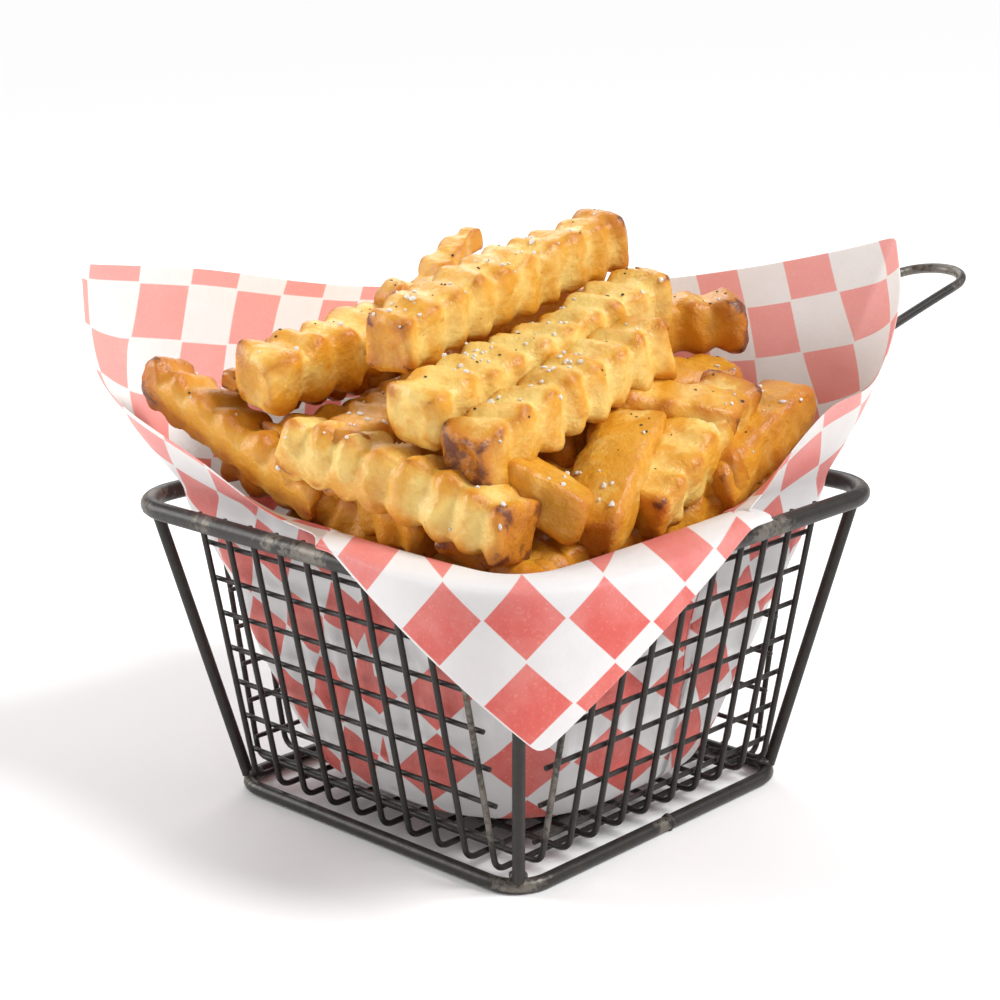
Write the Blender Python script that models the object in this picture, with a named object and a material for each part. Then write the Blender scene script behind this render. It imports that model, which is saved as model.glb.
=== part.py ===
"""A square wire serving basket with a loop handle, its checked paper liner and a heap of crinkle-cut fries.

Units are metres. The basket stands on its base ring. The liner's folded corner hangs over the rim at the corner
towards -X and -Y, and the handle rises from the rim's +X side. Everything hangs under one empty, which shifts the
whole so that the origin is the middle of the bottom of the object's box.
"""

import math

import bmesh
import bpy
import numpy as np
from mathutils import Matrix, Vector

MM = 0.001

# ---- driving dimensions, in millimetres ----
RIM_HALF = 57.5          # half the width of the rim wire's centreline square
RIM_HEIGHT = 65.6        # height of the rim wire's centreline
RIM_RADIUS = 2.0         # rim wire, 4 mm
RIM_CORNER = 12.5        # bend radius of the rim's corners
BASE_HALF = 42.9
BASE_RADIUS = 1.5        # base ring wire, 3 mm
BASE_CORNER = 8.0
GAP = 0.3                # air between neighbouring pieces

MESH_PITCH = 8.04        # mesh opening from wire to wire
MESH_WIRES = 10          # U-shaped wires each way
MESH_RADIUS = 0.65
CROSS_RADIUS = 0.55      # level wires of the four sides
CROSS_ROWS = 7
CROSS_STUB = 1.5         # how far a level wire runs past the last upright
FOOT_HALF = 43.9         # half the distance between opposite side wires at the foot level
FOOT_LEVEL = 12.0
FOOT_BEND = 3.0          # bend radius where a side wire turns into the floor
TIP_RISE = 1.0           # the wires' tips stand this far above the rim

POST_RADIUS = 1.3
POST_TOP = 53.0          # x and y of a corner post below the rim
POST_FOOT = 40.9         # and just above the base ring

HANDLE_RADIUS = 1.25
HANDLE_REACH = 110.0
HANDLE_RISE = 26.0
HANDLE_ROOT_HALF = 9.6   # half the distance between the two legs at the rim
HANDLE_TIP_HALF = 10.2   # bend radius of the handle's end
HANDLE_ARCH = 0.17       # how much the legs arch upwards

PAPER = 0.5              # the liner's thickness here
PAPER_FLOOR = 7.4
PAPER_SIDE_COLUMNS = 6   # the liner's columns along a side of the basket, and at a corner
PAPER_CORNER_COLUMNS = 6

# Where the liner's free edge stands, as (x, y, height), anticlockwise from beyond the folded corner.
LINER_EDGE = (
    (14, -58, 71), (20, -59, 80), (33, -60, 88), (46, -62, 92), (70, -50, 118), (66, -37, 114),
    (62, -17, 109), (60, 8, 104), (63, 40, 100), (66, 69, 99), (40, 59, 100), (14, 56, 103),
    (-8, 56, 107), (-31, 62, 112), (-55, 72, 115), (-64, 50, 90), (-60, 29, 80), (-57, 12, 72),
)
FOLD_START = -172.0      # the folded corner starts and ends at these directions from the middle, in degrees
FOLD_END = -79.0
FOLD_TIP = -133.0
FOLD_TIP_HEIGHT = 39.0

# The fries that show, as (middle x, y, z), heading, rise in degrees, length, width, height.
FRIES = (
    ((-7, -6, 112), 3, 10, 72, 12.5, 12.5),
    ((-11, -20, 101), 1, 11, 76, 12.5, 12.5),
    ((-17, -31, 94), 4, 13, 62, 12.5, 12.5),
    ((-49, -18, 80), -81, -11, 56, 12.5, 12.5),
    ((-30, 21, 98), 4, 5, 46, 12.5, 13),
    ((-51, 27, 83), -82, -24, 50, 13, 11),
    ((15, 37, 103), 11, 18, 32, 8, 8),
    ((36, -12, 98), -50, 8, 38, 12, 12),
    ((22, -22, 86), -20, 5, 40, 12.5, 12.5),
    ((9, -33, 87), -45, -12, 34, 12.5, 13),
    ((-14, -43, 79), 22, 26, 36, 14, 11),
    ((-33, -41, 79), -60, -24, 24, 12, 10),
    ((8, -47, 79), 12, 19, 46, 12.5, 12),
    ((30, -45, 78), 8, 17, 40, 12.5, 12.5),
    ((12, 12, 102), 160, 6, 58, 12.5, 12.5),
    ((30, 20, 92), -35, -6, 56, 12.5, 12.5),
    ((-8, 40, 90), 10, -5, 60, 12.5, 12.5),
    ((38, 38, 84), 80, 6, 50, 12.5, 12.5),
)


def principled(name, colour, roughness, metallic=0.0):
    material = bpy.data.materials.new(name)
    material.use_nodes = True
    shader = material.node_tree.nodes["Principled BSDF"]
    shader.inputs["Base Color"].default_value = (*colour, 1.0)
    shader.inputs["Roughness"].default_value = roughness
    shader.inputs["Metallic"].default_value = metallic
    material.diffuse_color = (*colour, 1.0)
    return material


def clear_scene():
    for thing in list(bpy.data.objects):
        bpy.data.objects.remove(thing, do_unlink=True)


def add_object(name, mesh, material, root):
    mesh.materials.append(material)
    thing = bpy.data.objects.new(name, mesh)
    thing.parent = root
    bpy.context.scene.collection.objects.link(thing)
    return thing


def mesh_from(points, faces, name):
    mesh = bpy.data.meshes.new(name)
    mesh.from_pydata([tuple(Vector(p) * MM) for p in points], [], faces)
    shape = bmesh.new()
    shape.from_mesh(mesh)
    bmesh.ops.recalc_face_normals(shape, faces=shape.faces)
    shape.to_mesh(mesh)
    shape.free()
    mesh.shade_smooth()
    mesh.set_sharp_from_angle(angle=math.radians(50))
    return mesh


def wire_mesh(name, path, radius, sides=6, closed=False, turn=0.0):
    """A round wire along a path: one ring of points for each point of the path, square to its direction."""
    path = [Vector(p) for p in path]
    count = len(path)
    points, faces = [], []
    for i, here in enumerate(path):
        before = path[i - 1] if closed or i else here
        after = path[(i + 1) % count] if closed or i < count - 1 else here
        along = (after - before).normalized()
        first, second = (here - before), (after - here)
        half = first.angle(second) / 2 if first.length and second.length else 0.0
        up = Vector((0, 0, 1)) if abs(along.z) < 0.95 else Vector((1, 0, 0))
        if not closed and count > 2 and abs(along.z) >= 0.2:
            up = (path[-1] - path[0]).normalized()
            up = (up - along * up.dot(along)).normalized()
        side = along.cross(up).normalized()
        up = side.cross(along)
        bend = (second.normalized() - first.normalized()) if half else Vector()
        inward = bend.normalized() if bend.length else Vector()
        for k in range(sides):
            angle = math.tau * k / sides + turn
            spoke = (side * math.cos(angle) + up * math.sin(angle)) * radius
            spoke += inward * spoke.dot(inward) * (1 / math.cos(half) - 1)
            points.append(here + spoke)
    for i in range(count if closed else count - 1):
        j = (i + 1) % count
        for k in range(sides):
            m = (k + 1) % sides
            faces.append((i * sides + k, i * sides + m, j * sides + m, j * sides + k))
    if not closed:
        faces.append(tuple(range(sides)))
        faces.append(tuple((count - 1) * sides + k for k in range(sides)))
    return mesh_from(points, faces, name)


def rounded_square(half, corner, height, steps=5):
    """The centreline of a square ring with round corners."""
    path = []
    for quarter in range(4):
        middle = Vector((half - corner, half - corner, 0))
        for step in range(steps + 1):
            angle = math.radians(90 * step / steps)
            spot = middle + corner * Vector((math.cos(angle), math.sin(angle), 0))
            path.append(Matrix.Rotation(math.radians(90 * quarter), 3, "Z") @ spot + Vector((0, 0, height)))
    return path


def side_half(height):
    """Half the distance between the side wires' centrelines at a height above the floor bends."""
    top_half = RIM_HALF - RIM_RADIUS - GAP - MESH_RADIUS
    share = (height - FOOT_LEVEL) / (RIM_HEIGHT - FOOT_LEVEL)
    return FOOT_HALF + (top_half - FOOT_HALF) * share


def u_path(floor_height):
    """One U-shaped mesh wire in a plane, as (across, height): down a side, along the floor and up the other."""
    tip = RIM_HEIGHT + RIM_RADIUS + TIP_RISE
    slope = math.atan2(side_half(tip) - side_half(FOOT_LEVEL), tip - FOOT_LEVEL)
    sweep = math.pi / 2 - slope
    cut = FOOT_BEND * math.tan(sweep / 2)
    foot = side_half(floor_height)
    centre = (foot - cut, floor_height + FOOT_BEND)
    bend = [(centre[0] + FOOT_BEND * math.sin(sweep * k / 3), centre[1] - FOOT_BEND * math.cos(sweep * k / 3))
            for k in range(3, -1, -1)]
    half = [(side_half(tip), tip)] + bend
    return half + [(-across, height) for across, height in reversed(half)]


def floor_heights():
    lower = 2 * BASE_RADIUS + GAP + MESH_RADIUS
    return lower, lower + 2 * MESH_RADIUS + GAP


def build_basket(root, wire, worn):
    turn = math.radians(22.5)
    rim = wire_mesh("rim", rounded_square(RIM_HALF, RIM_CORNER, RIM_HEIGHT), RIM_RADIUS, 8, True, turn)
    add_object("rim", rim, worn, root)
    across_flats = BASE_RADIUS / math.cos(turn)
    ring = wire_mesh("base_ring", rounded_square(BASE_HALF, BASE_CORNER, BASE_RADIUS), across_flats, 8, True, turn)
    add_object("base_ring", ring, worn, root)

    lower, upper = floor_heights()
    offsets = [(k - (MESH_WIRES - 1) / 2) * MESH_PITCH for k in range(MESH_WIRES)]
    for k, offset in enumerate(offsets):
        path = [(across, offset, height) for across, height in u_path(lower)]
        add_object(f"mesh_wire_x{k + 1:02d}", wire_mesh("wire", path, MESH_RADIUS), wire, root)
        path = [(offset, across, height) for across, height in u_path(upper)]
        add_object(f"mesh_wire_y{k + 1:02d}", wire_mesh("wire", path, MESH_RADIUS), wire, root)

    reach = offsets[-1] + CROSS_STUB
    inset = MESH_RADIUS + GAP + CROSS_RADIUS
    row_step = RIM_HEIGHT / (CROSS_ROWS + 1)
    for side, angle in (("left", 180), ("front", 270), ("right", 0), ("back", 90)):
        spin = Matrix.Rotation(math.radians(angle), 3, "Z")
        for row in range(CROSS_ROWS):
            height = row_step * (row + 1) + 2.0
            across = side_half(height) - inset
            path = [spin @ Vector((across, y, height)) for y in (-reach, reach)]
            name = f"cross_wire_{side}_{row + 1}"
            add_object(name, wire_mesh(name, path, CROSS_RADIUS), wire, root)


def build_posts(root, wire):
    top = RIM_HEIGHT - RIM_RADIUS - GAP
    foot = 2 * BASE_RADIUS + GAP
    for k, angle in enumerate((0, 90, 180, 270)):
        spin = Matrix.Rotation(math.radians(angle), 3, "Z")
        run = [(POST_TOP, top), (POST_FOOT, foot + 0.3)]
        path = [spin @ Vector((out, out, height)) for out, height in run]
        add_object(f"corner_post_{k + 1}", wire_mesh("post", path, POST_RADIUS), wire, root)


def handle_path(steps=6, bend_steps=8):
    """Out along one leg, round the end and back along the other."""
    start = RIM_HALF + RIM_RADIUS + GAP
    run = HANDLE_REACH - HANDLE_TIP_HALF
    leg = []
    for k in range(steps + 1):
        t = k / steps
        half = HANDLE_ROOT_HALF + (HANDLE_TIP_HALF - HANDLE_ROOT_HALF) * t
        leg.append(Vector((start + run * t, -half, RIM_HEIGHT + HANDLE_RISE * (t + HANDLE_ARCH * t * (1 - t)))))
    slope = HANDLE_RISE * (1 - HANDLE_ARCH) / run
    bend = []
    for k in range(1, bend_steps):
        angle = math.radians(-90 + 180 * k / bend_steps)
        out = HANDLE_TIP_HALF * math.cos(angle)
        across = HANDLE_TIP_HALF * math.sin(angle)
        bend.append(Vector((start + run + out, across, RIM_HEIGHT + HANDLE_RISE + out * slope)))
    mirrored = [Vector((p.x, -p.y, p.z)) for p in reversed(leg)]
    return leg + bend + mirrored


def build_handle(root, worn):
    add_object("handle", wire_mesh("handle", handle_path(), HANDLE_RADIUS, 6), worn, root)


def round_square_point(angle, half, corner):
    """The point of a square with round corners that lies in a direction from its middle."""
    c, s = abs(math.cos(angle)), abs(math.sin(angle))
    straight = half - corner
    reach = half / max(c, s)
    if min(c, s) * reach > straight:
        reach = straight * (c + s) + math.sqrt((straight * (c + s)) ** 2 - 2 * straight ** 2 + corner ** 2)
    return Vector((reach * math.cos(angle), reach * math.sin(angle)))


def edge_at(angle):
    """The liner's free edge at a direction from the middle: distance out and height, from its named points."""
    spots = sorted((math.atan2(y, x), math.hypot(x, y), z) for x, y, z in LINER_EDGE)
    angles = [a for a, _, _ in spots]
    out = np.interp(angle, angles, [r for _, r, _ in spots], period=math.tau)
    height = np.interp(angle, angles, [z for _, _, z in spots], period=math.tau)
    return float(out), float(height)


def liner_wall(height):
    """Half width and corner radius of the liner inside the basket at a height: nearly round at the floor."""
    share = max((height - PAPER_FLOOR) / (RIM_HEIGHT - PAPER_FLOOR), 0.0)
    half = 36.5 + (52.6 - 36.5) * share ** 0.8
    return min(half, side_half(height) - 3.1), 28.0 - 18.0 * share


def in_fold(angle):
    return math.radians(FOLD_START) <= angle <= math.radians(FOLD_END)


def fold_drop(angle):
    """How deep the folded corner hangs at a direction, from 0 at its ends to 1 at its tip."""
    start, tip, end = (math.radians(a) for a in (FOLD_START, FOLD_TIP, FOLD_END))
    if angle < tip:
        return (angle - start) / (tip - start)
    return (end - angle) / (end - tip)


def liner_column(angle):
    """One column of the liner, from the floor's middle out: up the wall, then upright or over the rim."""
    column = []
    for half in (12.0, 25.0):
        spot = round_square_point(angle, half, 0.8 * half)
        column.append(Vector((spot.x, spot.y, PAPER_FLOOR)))
    for height in (PAPER_FLOOR + 0.6, 15.0, 26.0, 39.0, 52.0, 63.0, 69.4):
        spot = round_square_point(angle, *liner_wall(min(height, RIM_HEIGHT)))
        column.append(Vector((spot.x, spot.y, height)))
    if in_fold(angle):
        over = RIM_HEIGHT + RIM_RADIUS + 2.6
        deepest = 0.6 + fold_drop(angle) * (over - FOLD_TIP_HEIGHT)
        stations = [(54.5, over - 0.4), (57.5, over), (60.3, over - 1.0)]
        stations += [(60.9 + 0.02 * share * deepest, over - 1.4 - share * deepest) for share in (0.3, 1.0)]
        for half, height in stations:
            spot = round_square_point(angle, half, RIM_CORNER + half - RIM_HALF)
            column.append(Vector((spot.x, spot.y, height)))
        return column
    out, height = edge_at(angle)
    low = column[-1]
    for share in (0.2, 0.4, 0.6, 0.8, 1.0):
        reach = math.hypot(low.x, low.y) * (1 - share) + out * share
        reach += 2.0 * math.sin(math.pi * share) * (1 if height > 90 else 0)
        column.append(Vector((reach * math.cos(angle), reach * math.sin(angle), low.z * (1 - share) + height * share)))
    return column


def column_angles():
    """The columns' directions from the middle, closer together round the corners."""
    ring = rounded_square(RIM_HALF, RIM_CORNER, 0.0, PAPER_CORNER_COLUMNS - 1)
    spots = []
    for k, here in enumerate(ring):
        spots.append(here)
        after = ring[(k + 1) % len(ring)]
        if (after - here).length > RIM_CORNER:
            spots += [here.lerp(after, (m + 1) / (PAPER_SIDE_COLUMNS + 1)) for m in range(PAPER_SIDE_COLUMNS)]
    ends = [math.radians(FOLD_START + 0.1), math.radians(FOLD_END - 0.1)]
    return sorted([math.atan2(spot.y, spot.x) for spot in spots] + ends)


def build_liner(root, paper):
    columns = [liner_column(angle) for angle in column_angles()]
    count = len(columns)
    rows = len(columns[0])
    points = [p for column in columns for p in column] + [Vector((0, 0, PAPER_FLOOR))]
    faces = []
    for k in range(count):
        m = (k + 1) % count
        faces.append((len(points) - 1, k * rows, m * rows))
        for row in range(rows - 1):
            faces.append((k * rows + row, k * rows + row + 1, m * rows + row + 1, m * rows + row))
    mesh = mesh_from(points, faces, "paper_liner")
    liner = add_object("paper_liner", mesh, paper, root)
    wall = liner.modifiers.new("thickness", "SOLIDIFY")
    wall.thickness = PAPER * MM
    wall.offset = 0.0
    return liner


def fry_block(shape, middle, heading, rise, length, width, height):
    """Adds one fry as a block with its long side along its heading."""
    turn = Matrix.Rotation(math.radians(heading), 4, "Z") @ Matrix.Rotation(math.radians(-rise), 4, "Y")
    place = Matrix.Translation(Vector(middle) * MM) @ turn @ Matrix.Diagonal(
        (length * MM, width * MM, height * MM, 1))
    bmesh.ops.create_cube(shape, size=1.0, matrix=place)


def heap_core(shape):
    """Adds the heap's body: a cone that fills the liner and a mound above the rim."""
    rings = ((9.6, 30), (24, 36), (42, 42), (62, 47), (76, 49), (88, 40), (96, 26), (102, 10))
    sides = 24
    loops = []
    for height, half in rings:
        loop = []
        for k in range(sides):
            spot = round_square_point(math.tau * k / sides, half, 0.6 * half)
            loop.append(shape.verts.new(Vector((spot.x, spot.y, height)) * MM))
        loops.append(loop)
    for low, high in zip(loops, loops[1:]):
        for k in range(sides):
            m = (k + 1) % sides
            shape.faces.new((low[k], low[m], high[m], high[k]))
    shape.faces.new(list(reversed(loops[0])))
    shape.faces.new(loops[-1])


def keep_largest_shell(mesh):
    """Leaves the mesh's biggest connected shell, so that no small sealed hollow stays inside."""
    shape = bmesh.new()
    shape.from_mesh(mesh)
    left, shells = set(shape.verts), []
    while left:
        stack, shell = [left.pop()], []
        while stack:
            vert = stack.pop()
            shell.append(vert)
            for edge in vert.link_edges:
                other = edge.other_vert(vert)
                if other in left:
                    left.remove(other)
                    stack.append(other)
        shells.append(shell)
    shells.sort(key=len)
    for shell in shells[:-1]:
        bmesh.ops.delete(shape, geom=shell, context="VERTS")
    shape.to_mesh(mesh)
    shape.free()


def modified(mesh, *settings):
    """A mesh after the given modifiers, each a type and its settings."""
    helper = bpy.data.objects.new("helper", mesh)
    bpy.context.scene.collection.objects.link(helper)
    for kind, values in settings:
        modifier = helper.modifiers.new(kind.lower(), kind)
        for name, value in values.items():
            setattr(modifier, name, value)
    bpy.context.view_layer.update()
    graph = bpy.context.evaluated_depsgraph_get()
    result = bpy.data.meshes.new_from_object(helper.evaluated_get(graph))
    bpy.data.objects.remove(helper, do_unlink=True)
    return result


def keep_inside_liner(mesh, margin):
    """Draws each point that would touch the liner inwards."""
    for vert in mesh.vertices:
        x, y, z = vert.co / MM
        z = max(z, PAPER_FLOOR + 1.6)
        angle = math.atan2(y, x)
        if z < 72.0:
            limit = round_square_point(angle, *liner_wall(min(z, RIM_HEIGHT))).length
        elif in_fold(angle):
            limit = round_square_point(angle, liner_wall(RIM_HEIGHT)[0] + 0.5 * max(z - 74.0, 0), RIM_CORNER).length
        else:
            low = round_square_point(angle, *liner_wall(RIM_HEIGHT)).length
            out, height = edge_at(angle)
            share = min(max((z - 70.0) / (height - 70.0), 0.0), 1.0)
            limit = low + (min(out, low + 9.0) - low) * share
        reach = math.hypot(x, y)
        pull = min(1.0, (limit - margin) / max(reach, 1.0))
        vert.co = Vector((x * pull, y * pull, z)) * MM


def build_heap(root, potato):
    shape = bmesh.new()
    heap_core(shape)
    for middle, heading, rise, length, width, height in FRIES:
        fry_block(shape, middle, heading, rise, length, width, height)
    rough = bpy.data.meshes.new("fries_rough")
    shape.to_mesh(rough)
    shape.free()
    solid = modified(rough, ("REMESH", {"mode": "VOXEL", "voxel_size": 1.8 * MM}))
    keep_largest_shell(solid)
    share = 1700 / (2 * len(solid.polygons))
    light = modified(solid, ("DECIMATE", {"ratio": share}))
    keep_inside_liner(light, 1.6)
    light.name = "fries"
    light.materials.clear()
    add_object("fries", light, potato, root)


def middle_of_bottom(things):
    """The middle of the bottom of the objects' common box."""
    graph = bpy.context.evaluated_depsgraph_get()
    corners = []
    for thing in things:
        mesh = thing.evaluated_get(graph).to_mesh()
        corners += [v.co.copy() for v in mesh.vertices]
    low = Vector(min(c[i] for c in corners) for i in range(3))
    high = Vector(max(c[i] for c in corners) for i in range(3))
    return Vector(((low.x + high.x) / 2, (low.y + high.y) / 2, low.z))


def main():
    clear_scene()
    wire = principled("dark_wire", (0.028, 0.029, 0.03), 0.42, 0.7)
    worn = principled("worn_wire", (0.06, 0.055, 0.05), 0.38, 0.85)
    paper = principled("checked_paper", (0.84, 0.42, 0.40), 0.6)
    potato = principled("fried_potato", (0.74, 0.45, 0.12), 0.5)
    root = bpy.data.objects.new("serving", None)
    bpy.context.scene.collection.objects.link(root)
    build_basket(root, wire, worn)
    build_posts(root, wire)
    build_handle(root, worn)
    build_liner(root, paper)
    build_heap(root, potato)
    bpy.context.view_layer.update()
    root.location = -middle_of_bottom(root.children)


main()
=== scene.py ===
import logging
import math
import random
from dataclasses import dataclass, field
from enum import Enum
from typing import Callable, Optional, Sequence

import bmesh
import bpy
import numpy as np
from mathutils import Matrix, Quaternion, Vector, noise


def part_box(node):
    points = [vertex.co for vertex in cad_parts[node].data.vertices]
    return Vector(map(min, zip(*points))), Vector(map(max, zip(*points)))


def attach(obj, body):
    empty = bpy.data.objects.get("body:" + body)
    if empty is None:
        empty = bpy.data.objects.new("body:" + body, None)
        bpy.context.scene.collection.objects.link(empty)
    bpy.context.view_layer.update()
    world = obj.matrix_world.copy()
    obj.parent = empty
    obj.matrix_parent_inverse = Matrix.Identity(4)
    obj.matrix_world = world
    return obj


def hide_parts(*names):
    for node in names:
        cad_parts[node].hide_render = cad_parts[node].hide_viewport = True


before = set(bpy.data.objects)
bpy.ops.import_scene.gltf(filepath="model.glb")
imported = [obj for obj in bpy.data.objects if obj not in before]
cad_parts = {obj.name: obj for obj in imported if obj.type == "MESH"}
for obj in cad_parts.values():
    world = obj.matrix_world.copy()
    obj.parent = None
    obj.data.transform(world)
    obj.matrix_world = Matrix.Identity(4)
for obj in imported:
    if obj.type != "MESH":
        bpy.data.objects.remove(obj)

log = logging.getLogger("serving")

MM = 0.001
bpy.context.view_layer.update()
RIM_LOW, RIM_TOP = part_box("rim")
CENTRE = Vector(((RIM_LOW.x + RIM_TOP.x) / 2, (RIM_LOW.y + RIM_TOP.y) / 2, 0.0))   # the basket's upright axis

# ---- the basket's sizes in millimetres, from its own axis and the floor, as in the model it stands in ----
RIM_HALF, RIM_HEIGHT, RIM_RADIUS, RIM_CORNER = 57.5, 65.6, 2.0, 12.5
BASE_HALF, BASE_RADIUS, BASE_CORNER = 42.9, 1.5, 8.0
MESH_PITCH, MESH_WIRES, MESH_RADIUS = 8.04, 10, 0.65
CROSS_RADIUS, CROSS_ROWS, CROSS_STUB = 0.55, 7, 1.5
GAP, FOOT_HALF, FOOT_LEVEL, FOOT_BEND, TIP_RISE = 0.3, 43.9, 12.0, 3.0, -1.1
POST_RADIUS, POST_TOP, POST_FOOT = 1.3, 53.0, 40.9
HANDLE_RADIUS, HANDLE_REACH, HANDLE_RISE = 1.25, 110.0, 26.0
HANDLE_ROOT_HALF, HANDLE_TIP_HALF, HANDLE_ARCH = 9.6, 10.2, 0.17
PAPER_FLOOR = 7.4
CHECK = 11.4             # side of one printed check


def place(point: Sequence[float]) -> Vector:
    """A point given in millimetres from the basket's axis, in metres in the shared frame."""
    return CENTRE + Vector(point) * MM


# ------------------------------------------------------------------ shader maths

class Wave:
    """A shader value that Python's operators add Math nodes to."""

    def __init__(self, graph: "Graph", socket: bpy.types.NodeSocket) -> None:
        """Args: graph: the material being filled; socket: the output that holds the value."""
        self.graph = graph
        self.socket = socket

    def maths(self, operation: str, first: object, second: object = 0.0) -> "Wave":
        """Adds one Math node. Args: operation, first, second. Returns: its result."""
        return self.graph.node("Math", {"operation": operation}, {0: first, 1: second})

    def __add__(self, other: object) -> "Wave":
        """Sum."""
        return self.maths("ADD", self, other)

    def __radd__(self, other: object) -> "Wave":
        """Sum with the value on the right."""
        return self.maths("ADD", other, self)

    def __sub__(self, other: object) -> "Wave":
        """Difference."""
        return self.maths("SUBTRACT", self, other)

    def __rsub__(self, other: object) -> "Wave":
        """Difference with the value on the right."""
        return self.maths("SUBTRACT", other, self)

    def __mul__(self, other: object) -> "Wave":
        """Product."""
        return self.maths("MULTIPLY", self, other)

    def __rmul__(self, other: object) -> "Wave":
        """Product with the value on the right."""
        return self.maths("MULTIPLY", other, self)

    def __truediv__(self, other: object) -> "Wave":
        """Quotient."""
        return self.maths("DIVIDE", self, other)

    def __pow__(self, other: object) -> "Wave":
        """Power."""
        return self.maths("POWER", self, other)

    def over(self, edge: float) -> "Wave":
        """1 where the value is above edge, else 0."""
        return self.maths("GREATER_THAN", self, edge)

    def part(self) -> "Wave":
        """The value's fraction above its whole number."""
        return self.maths("FRACT", self)

    def size(self) -> "Wave":
        """The value without its sign."""
        return self.maths("ABSOLUTE", self)

    def least(self, other: object) -> "Wave":
        """The smaller of two values."""
        return self.maths("MINIMUM", self, other)

    def most(self, other: object) -> "Wave":
        """The larger of two values."""
        return self.maths("MAXIMUM", self, other)

    def band(self, low: float, high: float) -> "Wave":
        """0 at low to 1 at high, smoothly. Args: low, high. Returns: the share."""
        return self.graph.node("MapRange", {"interpolation_type": "SMOOTHSTEP"},
                               {"Value": self, "From Min": low, "From Max": high})


class Graph:
    """A new material and the nodes that make it."""

    def __init__(self, name: str) -> None:
        """Args: name: the material's name."""
        self.material = bpy.data.materials.new(name)
        self.material.use_nodes = True
        self.tree = self.material.node_tree
        self.tree.nodes.clear()
        self.final = self.tree.nodes.new("ShaderNodeOutputMaterial")

    def node(self, kind: str, settings: Optional[dict] = None, inputs: Optional[dict] = None,
             output: object = 0) -> Wave:
        """Adds a node.

        Args:
            kind: the node's type, without its ShaderNode prefix.
            settings: its properties; a ramp's stops go under "stops".
            inputs: its sockets by name or number, with values or links.
            output: which output is wanted.

        Returns:
            The output, wrapped.
        """
        made = self.tree.nodes.new("ShaderNode" + kind)
        for name, value in (settings or {}).items():
            if name == "stops":
                ramp = made.color_ramp
                while len(ramp.elements) < len(value):
                    ramp.elements.new(0.5)
                for stop, (where, colour) in zip(ramp.elements, value):
                    stop.position = where
                    stop.color = (*colour, 1.0)
            else:
                setattr(made, name, value)
        for name, value in (inputs or {}).items():
            socket = made.inputs[name]
            if isinstance(value, Wave):
                self.tree.links.new(value.socket, socket)
            elif isinstance(value, tuple) and len(value) == 3 and socket.type == "RGBA":
                socket.default_value = (*value, 1.0)
            else:
                socket.default_value = value
        return Wave(self, made.outputs[output])

    def mix(self, share: object, first: object, second: object, blend: str = "MIX") -> Wave:
        """Mixes two colours. Args: share, first, second, blend. Returns: the colour."""
        return self.node("Mix", {"data_type": "RGBA", "blend_type": blend, "clamp_factor": True},
                         {0: share, 6: first, 7: second}, 2)

    def spots(self, scale: float, detail: float = 3.0, roughness: float = 0.55, seed: float = 0.0) -> Wave:
        """Soft noise on the piece's own coordinates.

        Args:
            scale: lumps per metre.
            detail: octaves.
            roughness: how strong the small lumps are.
            seed: shifts the pattern.

        Returns:
            A value about 0.5.
        """
        where = self.node("TexCoord", output="Object")
        return self.node("TexNoise", {"noise_dimensions": "4D"},
                         {"Vector": where, "W": seed, "Scale": scale, "Detail": detail,
                          "Roughness": roughness}, "Fac")

    def mark(self, name: str) -> Wave:
        """A value stored on the mesh's points. Args: name. Returns: the value."""
        return self.node("Attribute", {"attribute_name": name}, output="Fac")

    def bump(self, height: object, distance: float, strength: float = 1.0) -> Wave:
        """Raises the surface by height. Args: height, distance in metres, strength. Returns: the normal."""
        return self.node("Bump", {}, {"Height": height, "Distance": distance, "Strength": strength})

    def surface(self, values: dict) -> bpy.types.Material:
        """Closes the material with one Principled shader. Args: values: its sockets. Returns: the material."""
        shader = self.node("BsdfPrincipled", {}, values)
        self.tree.links.new(shader.socket, self.final.inputs["Surface"])
        return self.material


# ------------------------------------------------------------------ finishes

@dataclass(frozen=True)
class BlackWire:
    """Black coated wire that handling has worn to brown and bare steel."""

    name: str
    worn: float = 0.5        # how much of the coat has gone, from 0 to 1
    base: tuple = (0.010, 0.0105, 0.011)

    def build(self) -> bpy.types.Material:
        """Returns: the material."""
        g = Graph(self.name)
        patches = g.spots(160.0, 6.0, 0.68, 1.0)
        fine = g.spots(900.0, 4.0, 0.6, 2.0)
        rubbed = g.mark("rubbed")
        bare = (patches * 0.55 + fine * 0.45 + rubbed * 0.30).band(0.72 - 0.16 * self.worn, 0.86 - 0.1 * self.worn)
        brown = g.spots(330.0, 5.0, 0.65, 3.0).band(0.5, 0.72)
        coat = g.mix(g.spots(420.0, 4.0, 0.6, 4.0), self.base, (0.045, 0.038, 0.031))
        steel = g.mix(brown, (0.20, 0.18, 0.155), (0.11, 0.072, 0.045))
        colour = g.mix(bare, coat, steel)
        height = fine * 0.5 + patches * 0.5 - bare * 0.35
        return g.surface({
            "Base Color": colour,
            "Metallic": 0.2 + bare * 0.5,
            "Roughness": 0.3 + fine * 0.22 + bare * 0.08,
            "Normal": g.bump(height, 0.00022, 0.6),
            "Specular IOR Level": 0.4,
        })


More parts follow.
